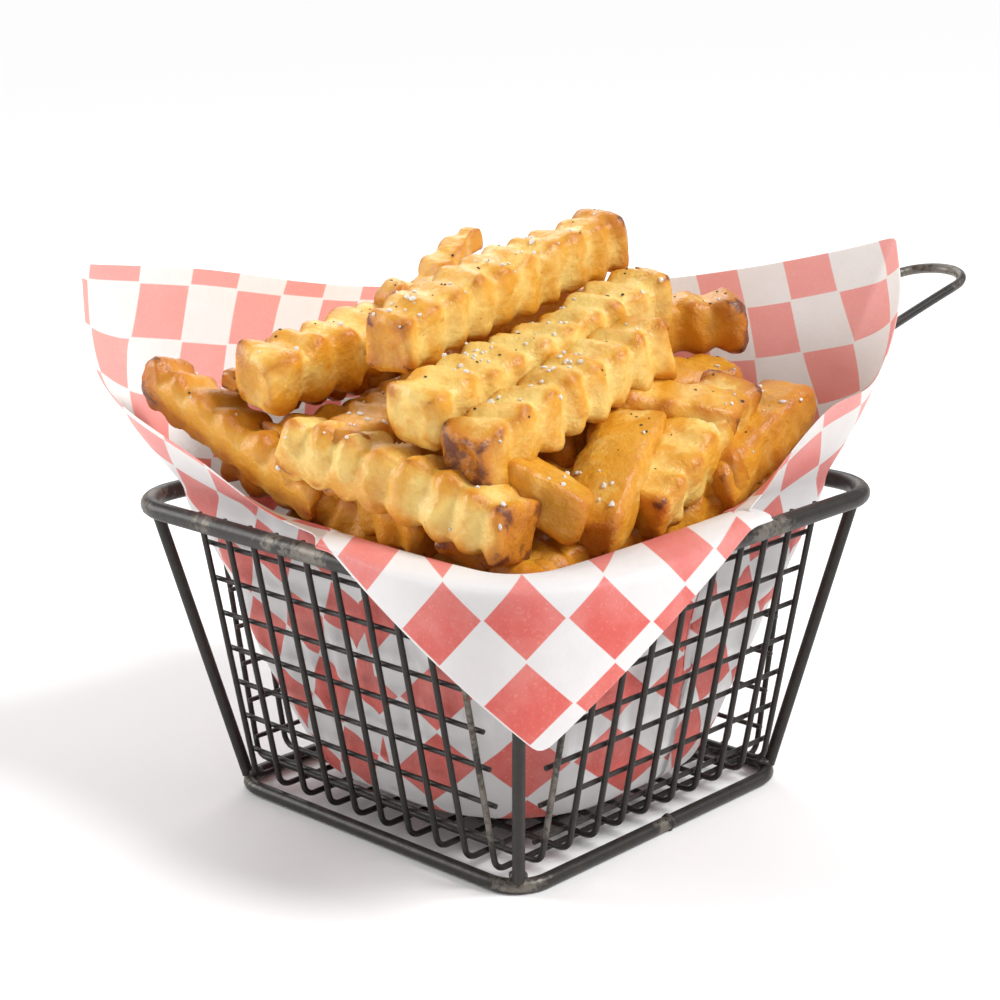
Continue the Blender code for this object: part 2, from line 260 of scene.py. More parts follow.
@dataclass(frozen=True)
class CheckedPaper:
    """Thin waxed paper printed with red checks, the print a little uneven and paler at the checks' sides; higher up the
    print is painted paler, a painted backlight glow through the sheet.
    """

    name: str = "checked_paper"
    red: tuple = (0.68, 0.09, 0.07)
    pale: tuple = (0.75, 0.185, 0.16)
    white: tuple = (0.81, 0.775, 0.765)

    def build(self) -> bpy.types.Material:
        """Returns: the material."""
        g = Graph(self.name)
        sheet = g.node("UVMap", {"uv_map": "checks"})
        across = g.node("SeparateXYZ", {}, {0: sheet}, "X")
        along = g.node("SeparateXYZ", {}, {0: sheet}, "Y")
        odd_across = (across * 0.5).part().over(0.5)
        odd_along = (along * 0.5).part().over(0.5)
        red_here = 1.0 - (odd_across - odd_along).size()
        from_side = (0.5 - (across.part() - 0.5).size()).least(0.5 - (along.part() - 0.5).size())
        line = from_side.band(0.006, 0.028)
        cloud = g.spots(95.0, 5.0, 0.6, 5.0)
        speck = g.spots(1500.0, 3.0, 0.6, 6.0)
        print_tone = g.mix(cloud.band(0.34, 0.68), self.red, self.pale)
        # painted backlight: the print is painted paler higher up on the sheet, standing in for light shining through it
        print_tone = g.mix(g.mark("faded"), print_tone, (0.86, 0.36, 0.345))
        print_tone = g.mix(speck.band(0.52, 0.8) * 0.25, print_tone, (0.93, 0.62, 0.58))
        wax = g.mix(g.spots(130.0, 5.0, 0.65, 7.0).band(0.4, 0.7) * 0.5, self.white, (0.74, 0.715, 0.70))
        colour = g.mix(red_here * line * 0.97, wax, print_tone)
        crease = g.spots(70.0, 4.0, 0.55, 8.0) * 0.7 + g.spots(330.0, 5.0, 0.6, 9.0) * 0.3
        return g.surface({
            "Base Color": colour,
            "Roughness": 0.42 + cloud * 0.2,
            "Normal": g.bump(crease, 0.0012, 0.35),
            "Specular IOR Level": 0.4,
            "Subsurface Weight": 0.6,
            "Subsurface Radius": (0.001, 0.00095, 0.0009),
            "Subsurface Scale": 1.0,
        })


@dataclass(frozen=True)
class FriedPotato:
    """Fried potato: pale gold on the flats, a little deeper gold on the crests and brown where the mesh says it is
    crisp; fries lower in the heap get painted shade, a deeper and darker gold.
    """

    name: str = "fried_potato"
    pale: tuple = (0.90, 0.65, 0.20)
    gold: tuple = (0.74, 0.345, 0.026)
    amber: tuple = (0.53, 0.17, 0.012)
    brown: tuple = (0.17, 0.045, 0.014)

    def build(self) -> bpy.types.Material:
        """Returns: the material."""
        g = Graph(self.name)
        crisp = g.mark("crisp")
        ridge = g.mark("ridge")
        # painted shade: fries lower in the heap are painted a deeper, darker gold and more amber
        shade = g.mark("shade")
        cloud = g.spots(130.0, 4.0, 0.55, 11.0)
        grain = g.spots(620.0, 5.0, 0.62, 12.0)
        # the tone and the amber both take in the painted shade
        tone = (cloud * 1.2 + grain * 0.4 + ridge * 0.1 + crisp * 0.5 + shade * 0.5).band(0.66, 1.12)
        colour = g.mix(tone, self.pale, self.gold)
        blots = g.spots(240.0, 5.0, 0.66, 13.0)
        warm = (crisp * 1.1 + blots * 0.7 + shade * 0.34).band(0.5, 1.05)
        colour = g.mix(warm * 0.85, colour, self.amber)
        burnt = (crisp * 0.75 + g.spots(300.0, 5.0, 0.68, 14.0) * 1.5).band(1.16, 1.5)
        colour = g.mix(burnt, colour, self.brown)
        freckles = g.spots(1150.0, 2.0, 0.5, 15.0).band(0.70, 0.75) * g.spots(110.0, 2.0, 0.5, 16.0).band(0.45, 0.6)
        colour = g.mix(freckles * 0.7, colour, (0.13, 0.055, 0.018))
        height = g.spots(420.0, 5.0, 0.6, 17.0) * 0.65 + grain * 0.35
        return g.surface({
            "Base Color": colour,
            "Roughness": 0.16 + grain * 0.3,
            "Specular IOR Level": 0.5,
            "Normal": g.bump(height, 0.0013, 0.7),
            "Subsurface Weight": 0.3,
            "Subsurface Radius": (0.0028, 0.0015, 0.0005),
            "Subsurface Scale": 1.0,
        })


@dataclass(frozen=True)
class Seasoning:
    """Salt crystals or dark flakes: one tone with grain in it."""

    name: str
    colour: tuple
    other: tuple
    roughness: float = 0.3
    clear: float = 0.0

    def build(self) -> bpy.types.Material:
        """Returns: the material."""
        g = Graph(self.name)
        grain = g.spots(2600.0, 3.0, 0.6, 21.0)
        return g.surface({
            "Base Color": g.mix(grain.band(0.35, 0.65), self.colour, self.other),
            "Roughness": self.roughness + grain * 0.2,
            "Normal": g.bump(grain, 0.00012, 0.5),
            "Transmission Weight": self.clear,
        })


# ------------------------------------------------------------------ making pieces

def nothing_selected() -> None:
    """Leaves every object deselected, in object mode."""
    if bpy.context.object and bpy.context.object.mode != "OBJECT":
        bpy.ops.object.mode_set(mode="OBJECT")
    bpy.ops.object.select_all(action="DESELECT")


def only(piece: bpy.types.Object) -> None:
    """Makes piece the one selected and active object."""
    nothing_selected()
    piece.select_set(True)
    bpy.context.view_layer.objects.active = piece


def settle(piece: bpy.types.Object) -> None:
    """Moves a piece's place, turn and size into its mesh."""
    only(piece)
    bpy.ops.object.transform_apply(location=True, rotation=True, scale=True)


def apply_modifier(piece: bpy.types.Object, kind: str, settings: dict) -> None:
    """Adds a modifier and applies it. Args: piece, kind, settings."""
    only(piece)
    modifier = piece.modifiers.new(kind.lower(), kind)
    for name, value in settings.items():
        setattr(modifier, name, value)
    bpy.ops.object.modifier_apply(modifier=modifier.name)


def smooth(piece: bpy.types.Object, degrees: float = 40.0) -> None:
    """Shades a piece smooth, apart from edges sharper than degrees."""
    only(piece)
    bpy.ops.object.shade_smooth_by_angle(angle=math.radians(degrees))


def points_of(piece: bpy.types.Object) -> np.ndarray:
    """The piece's points as an array of rows (x, y, z)."""
    flat = np.empty(len(piece.data.vertices) * 3)
    piece.data.vertices.foreach_get("co", flat)
    return flat.reshape(-1, 3)


def set_points(piece: bpy.types.Object, points: np.ndarray) -> None:
    """Writes the piece's points back."""
    piece.data.vertices.foreach_set("co", points.reshape(-1))
    piece.data.update()


def set_mark(piece: bpy.types.Object, name: str, values: np.ndarray) -> None:
    """Stores one number on each point of the piece, for its material to read."""
    layer = piece.data.attributes.get(name) or piece.data.attributes.new(name, "FLOAT", "POINT")
    layer.data.foreach_set("value", np.asarray(values, dtype=float))


def dress(piece: bpy.types.Object, finish: bpy.types.Material, nodes: Sequence[str] = ()) -> None:
    """Gives a finished piece its material, its body and the model's nodes that it stands for.

    Args:
        piece: the finished piece.
        finish: its material.
        nodes: the names of the nodes it replaces.
    """
    piece.data.materials.clear()
    piece.data.materials.append(finish)
    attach(piece, "root")
    if nodes:
        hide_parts(*nodes)
    log.info("%s: %d faces", piece.name, len(piece.data.polygons))


def joined(pieces: Sequence[bpy.types.Object], name: str) -> bpy.types.Object:
    """Joins pieces into the first one. Args: pieces, name. Returns: the joined piece."""
    only(pieces[0])
    for piece in pieces[1:]:
        piece.select_set(True)
    bpy.ops.object.join()
    whole = bpy.context.object
    whole.name = name
    return whole


def copied(piece: bpy.types.Object, name: str, matrix: Matrix) -> bpy.types.Object:
    """A copy of a piece with a mesh of its own, moved by matrix in the basket's frame.

    Args:
        piece: what to copy, finished at the origin.
        name: the copy's name.
        matrix: the move, with its shift in millimetres from the basket's axis.

    Returns:
        The copy.
    """
    twin = piece.copy()
    twin.data = piece.data.copy()
    twin.name = name
    bpy.context.scene.collection.objects.link(twin)
    shift = matrix.copy()
    shift.translation = matrix.translation * MM
    home = Matrix.Translation(CENTRE)
    twin.data.transform(home @ shift @ home.inverted())
    return twin


class WireRun:
    """A round wire drawn out of one circle by extrusions and spins, in the basket's millimetres."""

    def __init__(self, name: str, start: Sequence[float], heading: Sequence[float], radius: float,
                 sides: int = 12) -> None:
        """Args: name, start, heading, radius in millimetres, sides of its section."""
        nothing_selected()
        self.heading = Vector(heading).normalized()
        turn = self.heading.to_track_quat("Z", "Y").to_euler()
        bpy.ops.mesh.primitive_circle_add(vertices=sides, radius=radius * MM, fill_type="NOTHING",
                                          location=place(start), rotation=turn)
        self.piece = bpy.context.object
        self.piece.name = name
        bpy.ops.object.mode_set(mode="EDIT")
        bpy.ops.mesh.select_all(action="SELECT")

    def straight(self, length: float, cuts: int = 1) -> "WireRun":
        """Draws the wire straight on. Args: length, cuts. Returns: itself."""
        for _ in range(cuts):
            step = self.heading * (length / cuts * MM)
            bpy.ops.mesh.extrude_region_move(TRANSFORM_OT_translate={"value": step})
        return self

    def bend(self, centre: Sequence[float], axis: Sequence[float], degrees: float, steps: int) -> "WireRun":
        """Bends the wire round an axis. Args: centre, axis, degrees, steps. Returns: itself."""
        bpy.ops.mesh.spin(steps=steps, angle=math.radians(-degrees), center=place(centre), axis=axis)
        self.heading.rotate(Quaternion(Vector(axis), math.radians(degrees)))
        return self

    def finish(self, closed: bool = False) -> bpy.types.Object:
        """Closes the wire's ends, or joins them in a ring. Args: closed. Returns: the piece."""
        bpy.ops.mesh.select_all(action="SELECT")
        bpy.ops.mesh.remove_doubles(threshold=0.01 * MM)
        if not closed:
            bpy.ops.mesh.select_all(action="DESELECT")
            bpy.ops.mesh.select_non_manifold()
            bpy.ops.mesh.edge_face_add()
            bpy.ops.mesh.select_all(action="SELECT")
        bpy.ops.mesh.normals_make_consistent(inside=False)
        bpy.ops.object.mode_set(mode="OBJECT")
        settle(self.piece)
        smooth(self.piece, 50.0)
        return self.piece


def rub(piece: bpy.types.Object, spots: Sequence[tuple], everywhere: float = 0.0) -> None:
    """Marks where a wire's coat is rubbed off.

    Args:
        piece: the wire.
        spots: rows of (x, y, z, reach) in the basket's millimetres.
        everywhere: how rubbed it is away from them.
    """
    points = (points_of(piece) - np.array(CENTRE)) / MM
    worn = np.full(len(points), everywhere)
    for x, y, z, reach in spots:
        gone = np.linalg.norm(points - np.array((x, y, z)), axis=1) / reach
        worn = np.maximum(worn, np.exp(-gone ** 2))
    set_mark(piece, "rubbed", worn)


def spun(angle: float) -> Matrix:
    """A turn about the basket's axis by an angle in degrees."""
    return Matrix.Rotation(math.radians(angle), 4, "Z")


def side_half(height: float) -> float:
    """Half the distance between the side wires at a height, in millimetres."""
    top = RIM_HALF - RIM_RADIUS - GAP - MESH_RADIUS
    share = (height - FOOT_LEVEL) / (RIM_HEIGHT - FOOT_LEVEL)
    return FOOT_HALF + (top - FOOT_HALF) * share


# ------------------------------------------------------------------ the basket

@dataclass
class Basket:
    """The square wire basket: rim, base ring, posts, mesh, level wires, handle and their welds."""

    dark: bpy.types.Material
    worn: bpy.types.Material
    bare: bpy.types.Material
    pieces: list = field(default_factory=list)

    def ring(self, name: str, half: float, corner: float, height: float, radius: float) -> bpy.types.Object:
        """A square ring of wire with round corners. Args: name and sizes. Returns: the piece."""
        run = WireRun(name, (half, 0, height), (0, 1, 0), radius, 20)
        for quarter in range(4):
            run.straight(half - corner, 14)
            middle = spun(90 * quarter) @ Vector((half - corner, half - corner, height))
            run.bend(middle, (0, 0, 1), 90, 12)
            run.straight(half - corner, 14)
        return run.finish(closed=True)

    def build_rings(self) -> None:
        """Makes the rim and the base ring."""
        rim = self.ring("rim_wire", RIM_HALF, RIM_CORNER, RIM_HEIGHT, RIM_RADIUS)
        rub(rim, ((-57.5, 57.5, 66, 14), (-57, -2, 67, 9), (-57, 8, 67, 5), (15, -57.5, 67, 10),
                  (57.5, -57.5, 66, 12), (-57.5, 30, 68, 6), (57.5, 10, 66, 6), (57.5, -10, 66, 6)), 0.12)
        dress(rim, self.worn, ["rim"])
        ring = self.ring("base_ring_wire", BASE_HALF, BASE_CORNER, BASE_RADIUS, BASE_RADIUS)
        rub(ring, ((-42.9, -42.9, 1.5, 9), (0, -42.9, 1.5, 3.5), (42.9, -42.9, 1.5, 9), (-42.9, 42.9, 1.5, 9)), 0.1)
        dress(ring, self.worn, ["base_ring"])

    def u_wire(self, name: str, floor: float) -> bpy.types.Object:
        """One U-shaped wire across the middle, in the plane y = 0. Args: name, floor height. Returns: the piece."""
        tip = RIM_HEIGHT + RIM_RADIUS + TIP_RISE
        slope = math.atan2(side_half(tip) - side_half(FOOT_LEVEL), tip - FOOT_LEVEL)
        sweep = math.pi / 2 - slope
        foot = side_half(floor)
        out, up = foot - FOOT_BEND * math.tan(sweep / 2), floor + FOOT_BEND
        knee = (out + FOOT_BEND * math.sin(sweep), up - FOOT_BEND * math.cos(sweep))
        side = math.hypot(side_half(tip) - knee[0], tip - knee[1])
        heading = (-math.sin(slope), 0, -math.cos(slope))
        run = WireRun(name, (side_half(tip), 0, tip), heading, MESH_RADIUS, 10)
        run.straight(side, 8).bend((out, 0, up), (0, 1, 0), math.degrees(sweep), 6)
        run.straight(2 * out, 10).bend((-out, 0, up), (0, 1, 0), math.degrees(sweep), 6)
        run.straight(side, 8)
        return run.finish()

    def build_mesh(self) -> None:
        """Makes the U-shaped wires both ways and the level wires of the four sides."""
        lower = 2 * BASE_RADIUS + GAP + MESH_RADIUS
        upper = lower + 2 * MESH_RADIUS + GAP
        low_wire, high_wire = self.u_wire("u_low", lower), self.u_wire("u_high", upper)
        offsets = [(k - (MESH_WIRES - 1) / 2) * MESH_PITCH for k in range(MESH_WIRES)]
        for k, offset in enumerate(offsets):
            last = k == 0
            rubs = [(-side_half(z), offset, z, 13) for z in (20, 40, 60)] if last else ()
            along = copied(low_wire, f"upright_wire_x{k + 1:02d}", Matrix.Translation((0, offset, 0)))
            rub(along, rubs, 0.05)
            dress(along, self.bare if last else self.dark, [f"mesh_wire_x{k + 1:02d}"])
            across = copied(high_wire, f"upright_wire_y{k + 1:02d}",
                            Matrix.Translation((offset, 0, 0)) @ spun(90))
            rub(across, [(y, x, z, reach) for x, y, z, reach in rubs], 0.05)
            dress(across, self.bare if last else self.dark, [f"mesh_wire_y{k + 1:02d}"])
        for spare in (low_wire, high_wire):
            bpy.data.objects.remove(spare, do_unlink=True)

        reach = offsets[-1] + CROSS_STUB
        level = WireRun("level", (0, -reach, 0), (0, 1, 0), CROSS_RADIUS, 10).straight(2 * reach, 12).finish()
        inset = MESH_RADIUS + GAP + CROSS_RADIUS
        for side, angle in (("left", 180), ("front", 270), ("right", 0), ("back", 90)):
            for row in range(CROSS_ROWS):
                height = RIM_HEIGHT / (CROSS_ROWS + 1) * (row + 1) + 2.0
                move = spun(angle) @ Matrix.Translation((side_half(height) - inset, 0, height))
                wire = copied(level, f"level_wire_{side}_{row + 1}", move)
                rub(wire, (), 0.1)
                dress(wire, self.dark, [f"cross_wire_{side}_{row + 1}"])
        bpy.data.objects.remove(level, do_unlink=True)

    def build_posts(self) -> None:
        """Makes the four corner posts."""
        top, foot = RIM_HEIGHT - RIM_RADIUS + 0.3, 2 * BASE_RADIUS - 0.2
        start, end = Vector((POST_TOP, POST_TOP, top)), Vector((POST_FOOT, POST_FOOT, foot))
        run = end - start
        post = WireRun("post", start, run, POST_RADIUS, 14).straight(run.length, 16).finish()
        for k, angle in enumerate((0, 90, 180, 270)):
            corner = copied(post, f"post_{k + 1}", spun(angle))
            rub(corner, ((*(corner_spot(angle, POST_TOP)), top, 4),), 0.1)
            dress(corner, self.dark, [f"corner_post_{k + 1}"])
        bpy.data.objects.remove(post, do_unlink=True)

    def build_handle(self) -> None:
        """Makes the handle's loop flat, then arches it and tips it up."""
        start = RIM_HALF + RIM_RADIUS + GAP
        reach = HANDLE_REACH - HANDLE_TIP_HALF
        run = WireRun("handle_loop", (0, -HANDLE_TIP_HALF, 0), (1, 0, 0), HANDLE_RADIUS, 14)
        run.straight(reach, 18).bend((reach, 0, 0), (0, 0, 1), 180, 20).straight(reach, 18)
        loop = run.finish()
        points = (points_of(loop) - np.array(CENTRE)) / MM
        t = points[:, 0] / reach
        slope = HANDLE_RISE * (1 - HANDLE_ARCH) / reach
        rise = np.where(t <= 1, HANDLE_RISE * (t + HANDLE_ARCH * t * (1 - t)),
                        HANDLE_RISE + (points[:, 0] - reach) * slope)
        narrow = HANDLE_ROOT_HALF / HANDLE_TIP_HALF
        points[:, 1] *= narrow + (1 - narrow) * np.clip(t, 0, 1)
        points[:, 2] += rise + RIM_HEIGHT
        points[:, 0] += start
        set_points(loop, points * MM + np.array(CENTRE))
        rub(loop, ((175, 0, 92, 26), (62, 0, 66, 12)), 0.35)
        dress(loop, self.worn, ["handle"])

    def build_welds(self) -> None:
        """Makes the weld beads where the handle, the posts and the base ring's ends are joined."""
        rng = random.Random(5)
        spots = [((RIM_HALF + 1.6, side * HANDLE_ROOT_HALF, RIM_HEIGHT + 0.4), (1.9, 2.2, 1.9)) for side in (-1, 1)]
        for angle in (0, 90, 180, 270):
            x, y = corner_spot(angle, POST_TOP + 0.5)
            spots.append(((x, y, RIM_HEIGHT - RIM_RADIUS - 0.1), (2.0, 2.0, 1.3)))
            x, y = corner_spot(angle, POST_FOOT - 1.0)
            spots.append(((x, y, 3.3), (1.9, 1.9, 1.2)))
        spots.append(((3.0, -BASE_HALF, BASE_RADIUS), (0.9, BASE_RADIUS + 0.35, BASE_RADIUS + 0.35)))
        beads = []
        for spot, size in spots:
            nothing_selected()
            bpy.ops.mesh.primitive_ico_sphere_add(subdivisions=3, radius=MM, location=place(spot))
            bead = bpy.context.object
            bead.scale = size
            settle(bead)
            points = points_of(bead)
            seed = rng.uniform(0, 50)
            middle = np.array(place(spot))
            for k, point in enumerate(points):
                lump = noise.noise(Vector(point) * 700 + Vector((seed, 0, 0)))
                points[k] = middle + (point - middle) * (1 + 0.22 * lump)
            set_points(bead, points)
            beads.append(bead)
        welds = joined(beads, "weld_beads")
        smooth(welds, 60.0)
        rub(welds, (), 0.55)
        dress(welds, self.worn)

    def build(self) -> None:
        """Makes the whole basket."""
        self.build_rings()
        self.build_mesh()
        self.build_posts()
        self.build_handle()
        self.build_welds()


def corner_spot(angle: float, out: float) -> tuple:
    """The (x, y) of a point out along both axes, turned by an angle in degrees."""
    spot = spun(angle) @ Vector((out, out, 0))
    return spot.x, spot.y


# ------------------------------------------------------------------ the paper liner

def square_reach(angle: np.ndarray, half: np.ndarray, corner: np.ndarray) -> np.ndarray:
    """How far a square with round corners reaches in a direction from its middle.

    Args:
        angle: directions in radians.
        half: half widths.
        corner: corner radii.

    Returns:
        The distances.
    """
    c, s = np.abs(np.cos(angle)), np.abs(np.sin(angle))
    straight = half - corner
    flat = half / np.maximum(c, s)
    inner = np.maximum((straight * (c + s)) ** 2 - 2 * straight ** 2 + corner ** 2, 0)
    rounded = straight * (c + s) + np.sqrt(inner)
    return np.where(np.minimum(c, s) * flat > straight, rounded, flat)


def liner_half(height: float) -> tuple:
    """Half width and corner radius of the liner inside the basket at a height, in millimetres."""
    share = max((height - PAPER_FLOOR) / (RIM_HEIGHT - PAPER_FLOOR), 0.0)
    half = 36.5 + (52.6 - 36.5) * share ** 0.8
    return min(half, side_half(height) - 3.1), 28.0 - 18.0 * share


def spline(points: Sequence[Sequence[float]], count: int) -> np.ndarray:
    """Evenly spaced points on a smooth curve through the given ones.

    Args:
        points: the points to pass.
        count: how many are wanted, ends included.

    Returns:
        An array of count rows.
    """
    knots = np.array(points, dtype=float)
    ends = np.vstack([2 * knots[0] - knots[1], knots, 2 * knots[-1] - knots[-2]])
    fine = []
    for k in range(1, len(ends) - 2):
        p0, p1, p2, p3 = ends[k - 1:k + 3]
        for t in np.linspace(0, 1, 24, endpoint=False):
            fine.append(0.5 * (2 * p1 + (p2 - p0) * t + (2 * p0 - 5 * p1 + 4 * p2 - p3) * t ** 2
                               + (3 * p1 - p0 - 3 * p2 + p3) * t ** 3))
    fine.append(knots[-1])
    fine = np.array(fine)
    run = np.concatenate([[0], np.cumsum(np.linalg.norm(np.diff(fine, axis=0), axis=1))])
    want = np.linspace(0, run[-1], count)
    return np.column_stack([np.interp(want, run, fine[:, i]) for i in range(3)])


class Side(Enum):
    """The stretches of the liner's outline, anticlockwise seen from above."""

    FLAP = "flap"
    FRONT = "front"
    RIGHT = "right"
    BACK = "back"
    LEFT = "left"


@dataclass
class Liner:
    """The square sheet of checked paper: pressed into the basket, two corners standing and one folded out."""

    paper: bpy.types.Material
    front: tuple = ((9, -57, 70), (14, -58, 74), (20, -59, 80), (33, -60, 88), (46, -62, 92), (60, -58, 106),
                    (70, -50, 118))
    right: tuple = ((70, -50, 118), (66, -37, 114), (62, -17, 109), (60, 8, 104), (63, 40, 100), (66, 69, 99))
    back: tuple = ((66, 69, 99), (40, 59, 100), (14, 56, 103), (-8, 56, 107), (-31, 62, 112), (-55, 72, 115))
    left: tuple = ((-55, 72, 115), (-62, 61, 100), (-64, 50, 90), (-60, 29, 80), (-57.5, 12, 72), (-57, -3, 69.5))
    fold_start: float = -174.0
    fold_tip: float = -133.0
    fold_end: float = -77.0
    inside_rows: tuple = (8.2, 10.5, 14, 18, 22.5, 27, 32, 37, 42, 47, 52, 57, 61.5, 65.5, 69.4)
    floor_rows: tuple = (5, 12, 20, 28, 33)
    outer_rows: int = 15
    thickness: float = 0.22

    def columns(self) -> list:
        """The sheet's columns as (side, direction from the middle, free end or None for the folded corner)."""
        found = []
        start, tip, end = (math.radians(a) for a in (self.fold_start, self.fold_tip, self.fold_end))
        for angle in list(np.linspace(start, tip, 34, endpoint=False)) + list(np.linspace(tip, end, 42)):
            found.append((Side.FLAP, angle, None))
        for side, knots, count in ((Side.FRONT, self.front, 40), (Side.RIGHT, self.right, 46),
                                   (Side.BACK, self.back, 52), (Side.LEFT, self.left, 46)):
            for spot in spline(knots, count)[0 if side is Side.FRONT else 1:]:
                found.append((side, math.atan2(spot[1], spot[0]), spot))
        return found

    def inside(self, angle: float) -> np.ndarray:
        """The column's points from near the middle of the floor up to just above the rim."""
        rows = []
        for half in self.floor_rows:
            reach = float(square_reach(np.array(angle), np.array(half), np.array(0.8 * half)))
            rows.append((reach * math.cos(angle), reach * math.sin(angle), PAPER_FLOOR))
        for height in self.inside_rows:
            half, corner = liner_half(min(height, RIM_HEIGHT))
            reach = float(square_reach(np.array(angle), np.array(half), np.array(corner)))
            swell = max(0.0, 1 - abs(height - 40) / 32)
            pleat = noise.noise(Vector((math.cos(angle) * 3.1, math.sin(angle) * 3.1, height * 0.012)))
            fold = abs(noise.noise(Vector((math.cos(angle) * 7.0, math.sin(angle) * 7.0, height * 0.03 + 9))))
            crumple = abs(noise.noise(Vector((math.cos(angle) * 15, math.sin(angle) * 15, height * 0.11 + 4))))
            reach -= swell * (2.2 * abs(pleat) + 5.0 * fold + 2.0 * crumple)
            rows.append((reach * math.cos(angle), reach * math.sin(angle), height))
        return np.array(rows)

    def folded(self, angle: float) -> np.ndarray:
        """The column's points over the rim and down the hanging corner."""
        over = RIM_HEIGHT + RIM_RADIUS + 1.3
        skirt = self.skirt(angle)
        hem = min(self.hem_height(skirt * math.cos(angle), skirt * math.sin(angle)), over - 0.4)
        rim = float(square_reach(np.array(angle), np.array(RIM_HALF), np.array(RIM_CORNER)))
        shares = np.linspace(0, 1, self.outer_rows)
        rows = []
        roof = 4
        for k, share in enumerate(shares):
            if k < roof:
                part = (k + 1) / roof
                reach = (rim - 4.0) * (1 - part) + skirt * part
                rows.append((reach, over + 0.9 * math.sin(math.pi * (0.15 + 0.85 * part)) + 0.6))
            else:
                part = (k + 1 - roof) / (self.outer_rows - roof)
                rows.append((skirt + 0.35 * math.sin(math.pi * part * 0.5), over - part * (over - hem)))
        return np.array([(r * math.cos(angle), r * math.sin(angle), z) for r, z in rows])

    def hem_height(self, x: float, y: float) -> float:
        """How high the folded corner's cut edge is above the floor at a place. Args: x, y. Returns: the height."""
        t = (x - y) / math.sqrt(2)
        lift = 0.26 * max(80.9 + (x + y) / math.sqrt(2), 0)
        left = -(FLAP_B[0] + FLAP_B[1] * t + FLAP_B[3] * t * t) / (FLAP_B[2] + FLAP_B[4] * t)
        right = (HEM - FLAP_A[0] - FLAP_A[1] * t - FLAP_A[3] * t * t) / (FLAP_A[2] + FLAP_A[4] * t)
        return max(left, right) - lift

    def skirt(self, angle: float) -> float:
        """How far out the hanging corner stands in a direction: a wide curve from one side to the other."""
        turn = angle + math.radians(135)
        keep = math.tan(turn)
        k = 0.0245 if turn < 0 else 0.0188
        a, b = k * keep * keep, 1.0
        out = (-b + math.sqrt(b * b + 4 * a * 80.9)) / (2 * a) if a > 1e-9 else 80.9
        bulge = out / math.cos(turn)
        rim = float(square_reach(np.array(angle), np.array(RIM_HALF + 2.9), np.array(RIM_CORNER + 2.9)))
        return max(bulge, rim)

    def standing(self, low: np.ndarray, high: np.ndarray) -> np.ndarray:
        """The column's points from the rim up to the free edge. Args: low, high. Returns: the points."""
        shares = np.linspace(0, 1, self.outer_rows + 1)[1:]
        points = low[None, :] * (1 - shares[:, None]) + high[None, :] * shares[:, None]
        outward = np.array((low[0], low[1], 0.0))
        outward /= np.linalg.norm(outward)
        tall = min(max((high[2] - 76) / 30, 0), 1)
        points += outward[None, :] * (1.6 * tall * np.sin(np.pi * shares))[:, None]
        return points

    def build_shape(self) -> tuple:
        """Returns: the sheet's points as an array of columns and rows, and each column's side."""
        table, sides = [], []
        for side, angle, end in self.columns():
            inner = self.inside(angle)
            if side is Side.FLAP:
                outer = self.folded(angle)
            else:
                outer = self.standing(inner[-1], end)
            table.append(np.vstack([inner, outer]))
            sides.append(side)
        return np.array(table), sides

    def develop(self, points: np.ndarray, pins: np.ndarray) -> np.ndarray:
        """Lays part of the sheet flat, with its free edge held where the cut sheet has it.

        Args:
            points: columns and rows of points, in millimetres.
            pins: the flat places of the last row, in checks.

        Returns:
            The flat place of every point, in checks.
        """
        columns, rows = points.shape[:2]
        down = np.linalg.norm(np.diff(points, axis=1), axis=2) / CHECK
        across = np.linalg.norm(np.diff(points, axis=0), axis=2) / CHECK
        slant_a = np.linalg.norm(points[1:, 1:] - points[:-1, :-1], axis=2) / CHECK
        slant_b = np.linalg.norm(points[1:, :-1] - points[:-1, 1:], axis=2) / CHECK
        flat = np.zeros((columns, rows, 2))
        flat[:, -1] = pins
        middle = pins.mean(axis=0)
        depth = np.cumsum(down[:, ::-1], axis=1)
        inward = middle[None, :] - pins
        line = pins[-1] - pins[0]
        normal = np.array((-line[1], line[0])) / np.linalg.norm(line)
        if np.dot(normal, self.inner_hint) < 0:
            normal = -normal
        inward = 0.35 * inward / (np.linalg.norm(inward, axis=1)[:, None] + 1e-9) + normal[None, :]
        inward /= np.linalg.norm(inward, axis=1)[:, None]
        for row in range(rows - 1):
            flat[:, rows - 2 - row] = pins + inward * depth[:, row][:, None]
        weight = np.zeros((columns, rows, 1))
        links = ((slice(None), slice(0, -1), slice(None), slice(1, None), down),
                 (slice(0, -1), slice(None), slice(1, None), slice(None), across),
                 (slice(0, -1), slice(0, -1), slice(1, None), slice(1, None), slant_a),
                 (slice(0, -1), slice(1, None), slice(1, None), slice(0, -1), slant_b))
        for c0, r0, c1, r1, _ in links:
            weight[c0, r0] += 1
            weight[c1, r1] += 1
        for _ in range(700):
            push = np.zeros_like(flat)
            for c0, r0, c1, r1, length in links:
                gap = flat[c1, r1] - flat[c0, r0]
                size = np.linalg.norm(gap, axis=2)
                fix = gap * ((size - length) / np.maximum(size, 1e-6) * 0.5)[:, :, None]
                push[c0, r0] += fix
                push[c1, r1] -= fix
            flat += push / weight * 1.6
            flat[:, -1] = pins
        return flat

    inner_hint = np.array((1.0, 1.0))

    def pin_line(self, points: np.ndarray, start: tuple, heading: tuple) -> np.ndarray:
        """Flat places for a run of edge points along a straight cut. Args: points, start, heading. Returns: places."""
        run = np.concatenate([[0], np.cumsum(np.linalg.norm(np.diff(points, axis=0), axis=1))]) / CHECK
        return np.array(start)[None, :] + run[:, None] * np.array(heading)[None, :]

